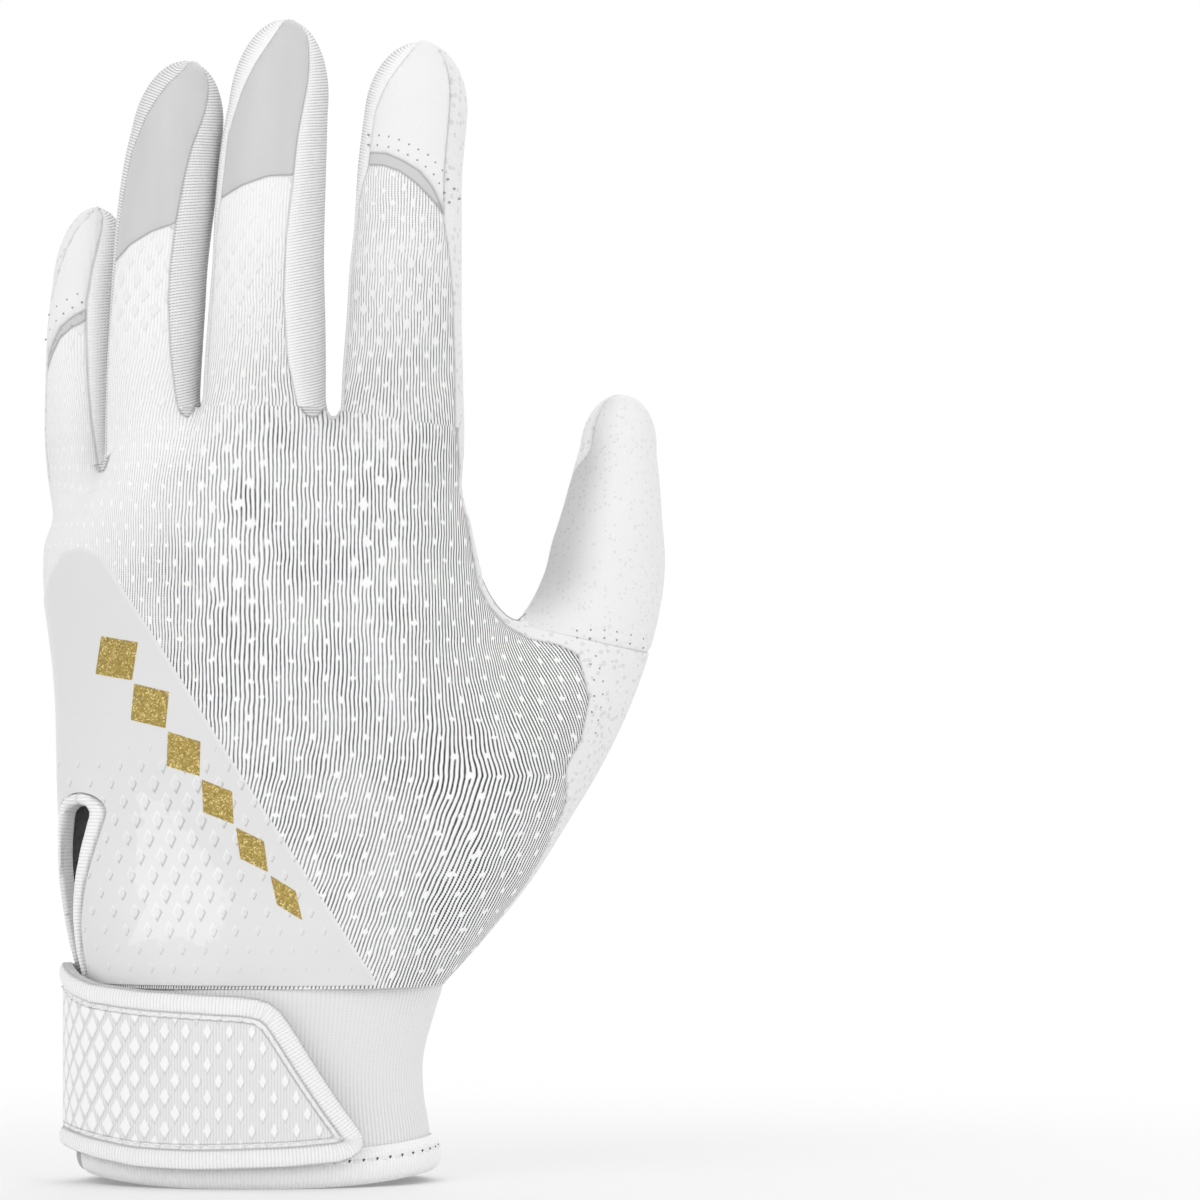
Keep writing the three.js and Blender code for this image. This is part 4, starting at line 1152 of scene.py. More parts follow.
def thread_mesh(starts, ends, normals, thick, lift=0.1, arch=0.25):
    """Short rounded threads from start to end, sinking at both ends."""
    shares = np.array([0, 0.06, 0.25, 0.5, 0.75, 0.94, 1.0])
    girth = np.array([0.15, 0.75, 1.0, 1.05, 1.0, 0.75, 0.15]) * thick / 2
    along = ends - starts
    along_unit = along / np.maximum(np.linalg.norm(along, axis=1), 1e-9)[:, None]
    side = np.cross(normals, along_unit)
    points, faces = [], []
    for share, radius in zip(shares, girth):
        rise = lift - 0.3 + (arch + 0.3) * math.sin(math.pi * share) ** 0.5 if 0 < share < 1 else lift - 0.3
        centre = starts + along * share + normals * rise
        ring = centre[:, None] + radius * (RING[None, :, :1] * side[:, None] + RING[None, :, 1:] * normals[:, None] * 0.8)
        points.append(ring)
    points = np.stack(points, 1).reshape(-1, 3)
    count, rows = len(starts), len(shares)
    unit = []
    for row in range(rows - 1):
        for k in range(6):
            a, b = row * 6 + k, row * 6 + (k + 1) % 6
            unit += [(a, b, b + 6), (a, b + 6, a + 6)]
    last = (rows - 1) * 6
    unit += [(0, k + 1, k) for k in range(1, 5)] + [(last, last + k, last + k + 1) for k in range(1, 5)]
    faces = (np.array(unit)[None] + (np.arange(count) * rows * 6)[:, None, None]).reshape(-1, 3)
    return points, faces


def disc_mesh(points, normals, radius, low, lift, sides):
    """Small sunken discs with a raised lip."""
    across = np.cross(normals, (0.31, 0.22, 0.93))
    across /= np.linalg.norm(across, axis=1)[:, None]
    other = np.cross(normals, across)
    turns = np.linspace(0, 2 * math.pi, sides, endpoint=False)
    rings = []
    for share, rise in ((0.35, low), (0.8, low * 0.5), (1.0, lift), (1.28, lift * 0.7), (1.45, -0.3)):
        around = np.cos(turns)[None, :, None] * across[:, None] + np.sin(turns)[None, :, None] * other[:, None]
        rings.append(points[:, None] + radius * share * around + normals[:, None] * rise)
    mesh = np.stack(rings, 1).reshape(-1, 3)
    unit = [(0, k, k + 1) for k in range(1, sides - 1)]
    for row in range(len(rings) - 1):
        for k in range(sides):
            a, b = row * sides + k, row * sides + (k + 1) % sides
            unit += [(a, a + sides, b + sides), (a, b + sides, b)]
    unit = np.array(unit)
    size = sides * len(rings)
    faces = (unit[None] + (np.arange(len(points)) * size)[:, None, None]).reshape(-1, 3)
    return mesh, faces


def small_piece(name, mesh, body, material):
    """Thread, holes or vents, from points and faces."""
    points, faces = mesh
    values = {"across": points[:, 0], "up": points[:, 2]}
    return dress(mesh_from(name, points, faces, None, values), body, material)


def sew(name, body, lines, pitch=2.3, length=1.8, thick=0.5, rise=lambda places: 0.0):
    """Rows of stitches along lines drawn on the palm side: thread, and the dark holes at its ends."""
    rows = []
    for line, closed in lines:
        steps = even_steps(line, pitch, closed)
        ahead = np.diff(steps, axis=0)
        first = steps[:-1] + ahead * (1 - length / pitch) / 2
        second = steps[:-1] + ahead * (1 + length / pitch) / 2
        grid = nets["grid"] if body == "hand" else nets[body + "_whole"]
        a, na = drop(grid, first, PALM_SIDE)
        b, nb = drop(grid, second, PALM_SIDE)
        c, nc = drop(grid, steps[:-1], PALM_SIDE)
        if not len(a) == len(b) == len(steps) - 1:
            raise RuntimeError(f"{name}: a stitch missed the surface")
        rows.append((a + na * rise(a), b + nb * rise(b), (na + nb) / 2, c + nc * rise(c), nc))
    starts, ends, normals, spots, spot_normals = (np.concatenate(part) for part in zip(*rows))
    normals /= np.linalg.norm(normals, axis=1)[:, None]
    small_piece(name, thread_mesh(starts, ends, normals, thick), body, "Thread")
    small_piece(name + "_holes", disc_mesh(spots, spot_normals, 0.17, 0.05, 0.06, 6), body, "Stitch hole")


def digit_line(name, degrees, low):
    """A line up a digit's side and on to its tip, at an angle from the middle of the back, as it is seen flat."""
    digit = digits[name]
    run = np.interp(np.arange(low, digit.height[-1], 4), digit.height, digit.run)
    run = np.append(run, digit.run[-1] + digit.tip * np.array([0, 0.4, 0.7]))
    centre, slope = digit.at(run)
    size = np.sqrt(1 - np.clip((run - digit.run[-1]) / digit.tip, 0, 1) ** 2)
    back = digit.back - (slope @ digit.back)[:, None] * slope
    back /= np.linalg.norm(back, axis=1)[:, None]
    wide, deep = (np.interp(run, digit.run, part) * size for part in (digit.wide, digit.deep))
    angle = math.radians(degrees)
    points = centre + back * (deep * math.cos(angle))[:, None] + np.cross(slope, back) * (wide * math.sin(angle))[:, None]
    return front(points)


PALM_SEAMS = {
    "index": palm_drawn(
        (822, 92), (830, 100), (841, 123), (848, 177), (851, 227), (858, 343), (861, 410), (868, 446), (878, 461),
    ),
    "middle": palm_drawn(
        (944, 62), (953, 84), (960, 127), (967, 177), (972, 227), (977, 293), (980, 343), (979, 393), (976, 437), (977, 447),
    ),
    "ring": digit_line("ring", -138, 147),
}
PIN_ROWS = {
    "thumb": [drawn((577, 630), (589, 630), (602, 630), (613, 631), (625, 633), (634, 636), (644, 639)),
              drawn((577, 638), (590, 638), (602, 638), (613, 639), (625, 642), (634, 645), (643, 648))],
    "hand": [drawn((596, 656), (599, 664), (602, 676), (603, 688), (602, 699), (600, 711), (597, 722), (595, 733)),
             drawn((591, 664), (594, 675), (596, 688), (595, 700), (592, 712))],
}
MESH_SEAM = palm_drawn(
    (762, 604), (770, 613), (790, 627), (814, 648), (822, 661), (816, 672), (800, 679), (776, 672), (752, 664), (724, 654),
)
VENTS = {
    "index": palm_drawn((793, 170), (802, 297), (804, 420)), "middle": palm_drawn((919, 144), (930, 282), (939, 423)),
    "ring": [(-10.8, 212.7), (-15.2, 185.8), (-19.5, 159)], "little": [(-30.8, 189), (-31.8, 170), (-31, 151.8)],
}


def lifted(line, distance):
    """A drawn line moved upward, square to itself."""
    line = np.array(line, float)
    ahead = np.gradient(line, axis=0)
    normal = np.column_stack([-ahead[:, 1], ahead[:, 0]]) / np.linalg.norm(ahead, axis=1)[:, None]
    return line + normal * distance


def pad_rise(name):
    """The height of a pad's leather above the hand's surface, as a function of place."""
    points, heights = nets[name]

    def rise(places):
        away = np.linalg.norm(places[:, None] - points, axis=2)
        return heights[np.argpartition(away, 3, axis=1)[:, :4]].mean(1)[:, None]

    return rise


def punch(name, body, lines, pitch, height):
    """Rows of needle holes on the back."""
    grid = nets["grid"] if body == "hand" else nets[body + "_whole"]
    spots, normals = zip(*(drop(grid, even_steps(line, pitch), BACK_SIDE) for line in lines))
    spots, normals = np.concatenate(spots), np.concatenate(normals)
    small_piece(name, disc_mesh(spots + normals * height, normals, 0.16, 0.03, 0.04, 6), body, "Pin hole")


def make_stitching():
    for name, outline in PADS.items():
        sew(f"{name}_stitches", "hand", [(inset(outline, 1.7), True)], rise=pad_rise(name))
    mesh_rows = [(MESH_SEAM, False), (lifted(MESH_SEAM, 1.6)[1:-1], False)]
    sew("mesh_patch_stitches", "hand", mesh_rows, pitch=1.9, length=1.4, thick=0.34)
    sides = [palm_drawn((px, 468), (px + 1, 560), (px, 640), (px - 4, 760)) for px in (1146, 1153)]
    sew("side_stitches", "hand", [(line, False) for line in sides], pitch=2.0, length=1.5, thick=0.34)
    for name, line in PALM_SEAMS.items():
        sew(f"{name}_palm_stitches", name, [(line, False)])
    sew("middle_root_stitches", "middle", [(palm_drawn((883, 459), (889, 450), (898, 420), (901, 396)), False)])
    for name, line in (("index", VENT_TOPS["index"][1:7]), ("little", VENT_TOPS["little"][1:5])):
        punch(f"{name}_tip_holes", name, [lifted(line, 1.5), lifted(line, 3.6)], 2.1, 0.36)
    for body, lines in PIN_ROWS.items():
        punch(f"{body}_hem_holes", body, lines, 2.6, 0.02)


def make_vents(radius):
    for name, line in VENTS.items():
        points, normals = drop(nets[name + "_whole"], line, PALM_SIDE)
        if len(points) < len(line):
            raise RuntimeError(f"{name}: a vent missed the surface")
        small_piece(f"{name}_vents", disc_mesh(points, normals, radius, 0.14, 0.26, 20), name, "Vent")


def outward(starts, ends):
    """Level directions away from the cuff's middle, halfway along each stitch."""
    normals = (starts + ends) / 2 - np.array([CUFF_X, 0, 0])
    normals[:, 2] = 0
    return normals / np.linalg.norm(normals, axis=1)[:, None]


def make_hem_stitches():
    """Dashes round the hem's upper third, and a line inside the strap's tape."""
    lengths = np.arange(SLIT_BACK + 2, SLIT_PALM - 2, 3.3)

    def place(length, height, offset):
        return oval(np.interp(length, ROUND_LENGTH, ROUND), height, offset)

    starts, ends = place(lengths, 5.2, 1.65), place(lengths + 2.2, 5.2, 1.65)
    normals = outward(starts, ends)
    small_piece("hem_stitches", thread_mesh(starts, ends, normals, 0.5), "hand", "Thread")
    spots = place(lengths + 2.75, np.full(len(lengths), 5.2), 1.72)
    small_piece("hem_holes", disc_mesh(spots, normals, 0.3, 0.03, 0.05, 6), "hand", "Stitch hole")
    outline = np.array(STRAP)
    outline = outline[outline[:, 0] > 3]
    steps = even_steps(lifted(outline, -5.0), 2.3)
    steps = steps[(steps[:, 0] > 1) & (steps[:, 1] > 9)]
    a, b = steps[:-1] * 0.88 + steps[1:] * 0.12, steps[:-1] * 0.12 + steps[1:] * 0.88
    keep = np.linalg.norm(b - a, axis=1) < 3
    starts, ends = (place(part[keep, 0], part[keep, 1], 4.95) for part in (a, b))
    small_piece("strap_stitches", thread_mesh(starts, ends, outward(starts, ends), 0.34), "strap", "Thread")


# Node groups and materials


class Tree:
    """Short calls that add shader nodes. Values may be plain or another node's output."""

    def __init__(self, tree):
        self.tree = tree

    def link(self, value, socket):
        if isinstance(value, bpy.types.NodeSocket):
            self.tree.links.new(value, socket)
        else:
            socket.default_value = value

    def put(self, kind, inputs=None, out=0, **settings):
        node = self.tree.nodes.new("ShaderNode" + kind)
        for key, value in settings.items():
            setattr(node, key, value)
        for key, value in (inputs or {}).items():
            self.link(value, node.inputs[key])
        return node.outputs[out]

    def outputs(self, kind, inputs):
        return self.tree.nodes[self.put(kind, inputs).node.name].outputs

    def maths(self, operation, *values):
        return self.put("Math", dict(enumerate(values)), operation=operation)

    def times(self, a, b):
        return self.maths("MULTIPLY", a, b)

    def plus(self, a, b):
        return self.maths("ADD", a, b)

    def less(self, a, b):
        return self.maths("SUBTRACT", a, b)

    def most(self, a, b):
        return self.maths("MAXIMUM", a, b)

    def line(self, value, slope, start):
        return self.maths("MULTIPLY_ADD", value, slope, start)

    def smooth(self, value, low, high, start=0.0, end=1.0):
        inputs = {"Value": value, "From Min": low, "From Max": high, "To Min": start, "To Max": end}
        return self.put("MapRange", inputs, interpolation_type="SMOOTHSTEP")

    def mix(self, factor, a, b):
        return self.put("Mix", {0: factor, 6: a, 7: b}, 2, data_type="RGBA")

    def mix_value(self, factor, a, b):
        return self.put("Mix", {0: factor, 2: a, 3: b})

    def shade(self, factor, colour):
        """The colour times a grey factor."""
        grey = self.put("CombineColor", {0: factor, 1: factor, 2: factor})
        return self.put("Mix", {0: 1.0, 6: grey, 7: colour}, 2, data_type="RGBA", blend_type="MULTIPLY")

    def attribute(self, name, out):
        return self.put("Attribute", out=out, attribute_name=name)

    def split(self, name):
        return self.outputs("SeparateXYZ", {0: self.attribute(name, 1)})

    def noise(self, scale, detail=2.0, out=0):
        return self.put("TexNoise", {"Vector": self.attribute("rest", 1), "Scale": scale, "Detail": detail}, out)

    def group(self, name, **values):
        node = self.tree.nodes.new("ShaderNodeGroup")
        node.node_tree = bpy.data.node_groups[name]
        for key, value in values.items():
            self.link(value, node.inputs[key.replace("_", " ")])
        return node.outputs


def new_group(name, inputs, outputs):
    tree = bpy.data.node_groups.new(name, "ShaderNodeTree")
    for label, value in inputs.items():
        socket = tree.interface.new_socket(name=label, in_out="INPUT", socket_type="NodeSocketFloat")
        socket.default_value = value
    for label in outputs:
        tree.interface.new_socket(name=label, in_out="OUTPUT", socket_type="NodeSocketFloat")
    start, end = tree.nodes.new("NodeGroupInput"), tree.nodes.new("NodeGroupOutput")
    return Tree(tree), start.outputs, end.inputs


def rib_group():
    """Ribs at an even pitch that waver a little, with the stitches along them, and painted shade in the grooves between
    them.
    """
    inputs = {"Place": 0, "Along": 0, "Pitch": 0.67, "Waver": 0.2, "Reach": 0.25, "Stitch": 0.5}
    t, given, out = new_group("Ribs", inputs, ("Height", "Gap shade"))
    wander = t.put("TexNoise", {"Vector": t.attribute("rest", 1), "Scale": given["Reach"], "Detail": 1.5})
    moved = t.line(t.less(wander, 0.5), given["Waver"], given["Place"])
    turn = t.times(t.maths("DIVIDE", moved, given["Pitch"]), 2 * math.pi)
    wave = t.maths("COSINE", turn)
    along = t.times(t.maths("DIVIDE", given["Along"], given["Stitch"]), 2 * math.pi)
    stitch = t.maths("SINE", t.plus(along, turn))
    height = t.line(stitch, 0.12, t.line(wave, 0.44, 0.5))
    t.link(height, out["Height"])
    uneven = t.put("TexNoise", {"Vector": t.attribute("rest", 1), "Scale": 1.1, "Detail": 2.0})
    depth = t.line(uneven, 1.3, 0.35)
    # Painted shade in the grooves between the ribs, deeper in patches.
    gap_shade = t.smooth(t.line(stitch, -0.35, t.times(wave, -1)), 0.0, 0.9)
    t.link(t.maths("MINIMUM", t.times(gap_shade, depth), 1.0), out["Gap shade"])


def lozenge_group():
    """Staggered lozenges: a mask of their inside, the line round them, and a mask of one side of them, for painted
    shade on their rims.
    """
    inputs = {"Place": 0, "Along": 0, "Column": 4.4, "Row": 4.4, "Wide": 1.4, "Tall": 2.2}
    t, given, out = new_group("Lozenges", inputs, ("Inside", "Rim", "Shade side"))
    near = []
    for shift in (0.0, 0.5):
        reach = []
        for place, step, size in (("Place", "Column", "Wide"), ("Along", "Row", "Tall")):
            share = t.maths("FRACT", t.plus(t.maths("DIVIDE", given[place], given[step]), shift))
            away = t.times(t.less(share, 0.5), given[step])
            reach.append(t.maths("DIVIDE", away, t.times(given[size], 0.5)))
        near.append((t.plus(t.maths("ABSOLUTE", reach[0]), t.maths("ABSOLUTE", reach[1])), reach))
    best = t.maths("MINIMUM", near[0][0], near[1][0])
    t.link(t.smooth(best, 1.12, 0.84), out["Inside"])
    t.link(t.times(t.smooth(best, 0.7, 1.0), t.smooth(best, 1.4, 1.05)), out["Rim"])
    # The side of each lozenge that takes painted shade on its rim.
    first = t.maths("LESS_THAN", near[0][0], near[1][0])
    slopes = [t.less(reach[0], reach[1]) for _, reach in near]
    lean = t.plus(t.times(slopes[0], first), t.times(slopes[1], t.less(1.0, first)))
    t.link(t.smooth(lean, -0.2, 0.9), out["Shade side"])


def pebble_group():
    """Leather grain: scattered soft spots over a fine grain, thicker in some places than in others."""
    inputs = {"Size": 1.3, "Spread": 0.5, "Fine": 0.5}
    t, given, out = new_group("Pebbles", inputs, ("Height", "Spot", "Rim"))
    wander = t.put("TexNoise", {"Vector": t.attribute("rest", 1), "Scale": 1.6, "Detail": 2.0}, 1)
    bent = t.put("VectorMath", {0: wander, 1: (0.55, 0.55, 0.55), 2: t.attribute("rest", 1)}, operation="MULTIPLY_ADD")
    place = t.put("VectorMath", {0: bent, 3: t.maths("DIVIDE", 1.0, given["Size"])}, operation="SCALE")
    cells = t.outputs("TexVoronoi", {"Vector": place, "Scale": 1.0, "Randomness": 0.85})
    chance = t.put("SeparateColor", {0: cells["Color"]})
    patches = t.put("TexNoise", {"Vector": t.attribute("rest", 1), "Scale": 0.07, "Detail": 2.0})
    shown = t.maths("LESS_THAN", chance, t.plus(given["Spread"], t.line(patches, 1.6, -0.8)))
    spot = t.times(t.smooth(cells["Distance"], 0.38, 0.27), shown)
    rim = t.times(t.times(t.smooth(cells["Distance"], 0.25, 0.34), t.smooth(cells["Distance"], 0.5, 0.37)), shown)
    grain = t.put("TexNoise", {"Vector": t.attribute("rest", 1), "Scale": 2.2, "Detail": 3.0, "Roughness": 0.65})
    height = t.line(grain, given["Fine"], t.line(rim, 0.35, t.times(spot, -0.45)))
    t.link(height, out["Height"])
    t.link(spot, out["Spot"])
    t.link(rim, out["Rim"])


def seam_group():
    """Shade in the ditch of a seam, and a slow unevenness of tone over the cloth."""
    t, given, out = new_group("Seam shade", {"Width": 0.6, "Depth": 0.35, "Uneven": 0.04}, ("Shade",))
    edge = t.attribute("edge", 2)
    ditch = t.smooth(t.maths("DIVIDE", edge, given["Width"]), 0.0, 1.0, 1.0, 0.0)
    dark = t.times(ditch, given["Depth"])
    slow = t.put("TexNoise", {"Vector": t.attribute("rest", 1), "Scale": 0.05, "Detail": 3.0})
    tone = t.times(t.less(slow, 0.5), given["Uneven"])
    t.link(t.plus(t.less(1.0, dark), tone), out["Shade"])


def finish_material(name, make, roughness=0.9, bump=0.3, **sockets):
    """A material from a function that returns its colour, its height in millimetres, and its roughness if it varies."""
    material = bpy.data.materials.new(name)
    material.use_nodes = True
    tree = Tree(material.node_tree)
    shader = material.node_tree.nodes["Principled BSDF"]
    shader.inputs["Roughness"].default_value = roughness
    colour, height, *rough = make(tree)
    tree.link(colour, shader.inputs["Base Color"])
    if rough:
        tree.link(rough[0], shader.inputs["Roughness"])
    if height is not None:
        tree.link(tree.put("Bump", {"Strength": bump, "Distance": 0.001, "Height": height}), shader.inputs["Normal"])
    for key, value in sockets.items():
        shader.inputs[key.replace("_", " ")].default_value = value
    return material


def rgb(value):
    """A grey as it shows on screen, from 0 to 255."""
    linear = ((value / 255 + 0.055) / 1.055) ** 2.4
    return (linear, linear, linear, 1)


def tint(key):
    return (*getattr(bpy.context.scene.glove_colours, key), 1)


def knit_look(t):
    across, up = t.split("cloth")[0:2]
    x, _, z = t.split("rest")[0:3]
    finger = t.smooth(z, 146.0, 172.0)
    ribs = t.group("Ribs", Place=across, Along=up, Pitch=0.72, Waver=0.9, Reach=0.16, Stitch=0.5)
    stray = t.noise(0.13, 1.0, 1)
    drift = t.outputs("SeparateXYZ", {0: stray})
    across = t.line(t.less(drift[0], 0.5), 3.0, across)
    up = t.line(t.less(drift[1], 0.5), 3.0, up)
    hand_dots = t.group("Lozenges", Place=across, Along=up, Column=4.4, Row=8.1, Wide=1.15, Tall=1.7)
    big = t.most(t.smooth(t.maths("ABSOLUTE", t.less(across, -13.0)), 8.0, 3.0),
                 t.smooth(t.maths("ABSOLUTE", t.less(across, 13.0)), 7.0, 2.0))
    big = t.times(big, t.smooth(z, 112.0, 128.0))
    wide_dots = t.group("Lozenges", Place=across, Along=up, Column=4.4, Row=8.1, Wide=1.8, Tall=2.9)
    star = t.mix_value(big, hand_dots["Inside"], wide_dots["Inside"])
    lozenges = t.group("Lozenges", Place=across, Along=up, Column=4.6, Row=6.4, Wide=1.25, Tall=2.0)
    largest = t.times(t.smooth(z, 164.0, 182.0), t.smooth(z, 208.0, 190.0))
    wider = t.group("Lozenges", Place=across, Along=up, Column=4.6, Row=6.4, Wide=2.0, Tall=3.1)
    raised = t.mix_value(largest, lozenges["Inside"], wider["Inside"])
    rim = t.mix_value(largest, lozenges["Rim"], wider["Rim"])
    low = t.mix_value(largest, lozenges["Shade side"], wider["Shade side"])
    # Painted shade in the rib grooves: patchy, shallower up the fingers and towards the upper little-finger side,
    # deeper towards the thumb, none on the lozenges, rgb(30) at most.
    patchy = t.smooth(t.noise(0.09, 2.0), 0.3, 0.72)
    pale = t.smooth(t.line(x, -1.0, t.times(z, 0.55)), 78.0, 112.0)
    dark = t.times(t.line(patchy, 0.25, 0.78), t.smooth(z, 150.0, 205.0, 1.0, 0.55))
    dark = t.times(dark, t.smooth(x, 26.0, 52.0, 1.0, 1.35))
    dark = t.times(dark, t.line(pale, -0.75, 1.0))
    shut = t.most(t.times(star, t.less(1.0, finger)), t.times(raised, finger))
    gap_shade = t.times(t.maths("MINIMUM", t.times(ribs["Gap shade"], dark), 1.0), t.less(1.0, shut))
    shown = t.mix(gap_shade, tint("knit"), rgb(30))
    # Painted shade on the rims of the finger lozenges, heavier on their shaded side, and a little darker inside them.
    ring = t.times(t.times(rim, t.line(low, 0.7, 0.3)), t.times(finger, 0.12))
    inside = t.times(raised, t.times(finger, t.line(largest, 0.07, 0.02)))
    shade = t.times(t.group("Seam shade", Width=0.5, Depth=0.3, Uneven=0.06)["Shade"],
                    t.less(1.0, t.plus(ring, inside)))
    height = t.line(t.times(ribs["Height"], t.less(1.0, shut)), 0.12, t.times(shut, 0.13))
    return t.shade(shade, shown), height


def strip_look(t):
    across, up, turn = t.split("cloth")[0:3]
    ribs = t.group("Ribs", Place=across, Along=up, Pitch=0.62, Waver=0.12, Reach=0.3, Stitch=0.7)
    # Painted shade in the rib grooves, faint where the strip's shade value is low.
    rolled = t.smooth(turn, 0.02, 0.4)
    gap_shade = t.times(ribs["Gap shade"], t.line(rolled, 0.5, 0.04))
    # Painted shade: the strip darkens to 0.78 of its colour as its shade value grows.
    shade = t.times(t.group("Seam shade", Width=0.5, Depth=0.3, Uneven=0.05)["Shade"], t.smooth(turn, 0.1, 1.0, 1.0, 0.78))
    return t.shade(shade, t.mix(gap_shade, tint("ribbed"), rgb(100))), t.times(ribs["Height"], 0.16)


def cap_look(t):
    grain = t.noise(0.6, 4.0)
    # Painted highlights: faint streaks drawn out up the cap brighten it by up to 0.12.
    drawn_out = t.put("VectorMath", {0: t.attribute("rest", 1), 1: (0.2, 0.2, 0.015)}, operation="MULTIPLY")
    highlight_streak = t.put("TexNoise", {"Vector": drawn_out, "Scale": 1.0, "Detail": 1.0})
    tone = t.plus(t.times(grain, 0.03), t.line(highlight_streak, 0.12, 0.9))
    shade = t.times(tone, t.group("Seam shade", Width=0.45, Depth=0.4, Uneven=0.03)["Shade"])
    return t.shade(shade, tint("cap")), t.times(grain, 0.05), t.smooth(grain, 0.3, 0.7, 0.42, 0.5)


def leather_look(size, spread, fine, spots, bump=1.0, facet_shade=0.0):
    def look(t):
        grain = t.group("Pebbles", Size=size, Spread=spread, Fine=fine)
        shade = t.group("Seam shade", Width=0.5, Depth=0.28, Uneven=0.03)["Shade"]
        marks = t.line(grain["Rim"], spots * 0.35, t.times(grain["Spot"], -spots))
        shade = t.plus(shade, marks)
        fine_tone = t.times(t.less(t.noise(2.0, 3.0), 0.5), 0.05)
        # Painted shade on the thumb's facet, from the cloth's shade value.
        if facet_shade:
            shade = t.line(t.split("cloth")[2], -facet_shade, shade)
        return t.shade(t.plus(shade, fine_tone), tint("leather")), t.times(grain["Height"], 0.2 * bump)
    return look


def tape_look(pitch, dark):
    def look(t):
        across, up = t.split("cloth")[0:2]
        ribs = t.group("Ribs", Place=across, Along=up, Pitch=pitch, Waver=0.15, Reach=0.4, Stitch=0.5)
        shade = t.group("Seam shade", Width=0.6, Depth=0.35, Uneven=0.05)["Shade"]
        # Painted shade in the rib grooves, as deep as dark.
        gap_shade = t.times(ribs["Gap shade"], dark)
        return t.shade(shade, t.mix(gap_shade, tint("tape"), rgb(110))), t.times(ribs["Height"], 0.22)
    return look


def cuff_look(t):
    across, up = t.split("cloth")[0:2]
    ribs = t.group("Ribs", Place=across, Along=up, Pitch=1.02, Waver=0.1, Reach=0.2, Stitch=0.55)
    fine = t.group("Ribs", Place=up, Along=across, Pitch=0.55, Waver=0.1, Reach=0.2, Stitch=1.0)
    patch = t.smooth(t.noise(0.045, 1.0), 0.35, 0.65)
    # Painted shade in the grooves of both sets of ribs, patchy.
    gap_shade = t.times(ribs["Gap shade"], t.line(patch, 0.14, 0.07))
    gap_shade = t.line(fine["Gap shade"], 0.05, gap_shade)
    shade = t.group("Seam shade", Width=0.8, Depth=0.3, Uneven=0.04)["Shade"]
    height = t.line(fine["Height"], 0.04, t.times(ribs["Height"], 0.08))
    return t.shade(shade, t.mix(gap_shade, tint("cuff"), rgb(110))), height


def strap_look(t):
    across, up = t.split("cloth")[0:2]
    ribs = t.group("Ribs", Place=across, Along=up, Pitch=0.62, Waver=0.1, Reach=0.2, Stitch=0.5)
    share = t.smooth(across, 4.0, 56.0)
    wide = t.line(share, -2.1, 3.7)
    tall = t.line(share, -2.3, 5.6)
    grid = t.group("Lozenges", Place=across, Along=t.plus(up, 1.2), Column=4.5, Row=6.8, Wide=wide, Tall=tall)
    # Painted shade in the rib grooves, off the lozenges.
    gap_shade = t.times(t.times(ribs["Gap shade"], 0.2), t.less(1.0, grid["Inside"]))
    ground = t.mix(gap_shade, tint("strap"), rgb(130))
    colour = t.mix(grid["Inside"], ground, rgb(251))
    # Painted shade on the shaded side of the lozenges' rims.
    ring = t.times(t.times(grid["Rim"], grid["Shade side"]), 0.16)
    edge = t.attribute("edge", 2)
    piping = t.smooth(edge, 1.15, 0.95)
    # Painted shade: a dark line in the ditch just inside the white piping.
    ditch = t.times(t.smooth(edge, 0.95, 1.15), t.smooth(edge, 1.6, 1.25))
    shade = t.less(t.group("Seam shade", Width=0.5, Depth=0.35, Uneven=0.03)["Shade"], ring)
    shade = t.less(shade, t.times(ditch, 0.3))
    height = t.line(grid["Inside"], 0.2, t.times(ribs["Height"], 0.07))
    height = t.line(piping, 0.25, height)
    return t.shade(shade, t.mix(piping, colour, rgb(250))), height


def film_look(t):
    x, _, z = t.split("rest")[0:3]
    place = t.plus(x, t.times(z, 0.12))
    fade = t.times(t.smooth(z, 98.0, 82.0), t.smooth(z, 46.0, 58.0, 0.55, 1.0))
    size = t.line(t.smooth(t.maths("ABSOLUTE", t.less(x, -14.0)), 20.0, 2.0), 0.9, 0.9)
    size = t.times(size, fade)
    wells = t.group("Lozenges", Place=place, Along=z, Column=4.6, Row=7.6, Wide=t.times(size, 1.15), Tall=t.times(size, 2.0))
    # Painted light and shade on the wells' rims: darker on their shaded side, lighter on the other.
    ring = t.times(t.times(wells["Rim"], fade), t.line(wells["Shade side"], 0.5, -0.14))
    # Painted highlight: a ragged patch bounded by these lines makes the film 0.07 brighter. The film is also 0.08
    # lighter along its edge.
    aside = t.less(t.maths("ABSOLUTE", t.less(x, -13.5)), 9.0)
    above = t.less(t.maths("ABSOLUTE", t.less(z, 66.0)), 14.5)
    slant = t.line(x, 0.73, t.line(z, 0.68, -41.4))
    out = t.most(t.most(aside, above), slant)
    out = t.plus(out, t.line(t.noise(0.22, 3.0), 9.0, -4.5))
    painted_highlight = t.smooth(out, 0.4, -0.4)
    edge = t.attribute("edge", 2)
    rim = t.times(t.smooth(edge, 0.9, 0.3), t.smooth(edge, -0.1, 0.2))
    tone = t.less(t.line(rim, 0.08, t.line(painted_highlight, 0.07, 0.98)), ring)
    uneven = t.times(t.less(t.noise(0.06, 2.0), 0.5), 0.05)
    height = t.line(wells["Inside"], 0.2, t.times(t.noise(0.15, 2.0), 0.3))
    return t.shade(t.plus(tone, uneven), tint("film")), height


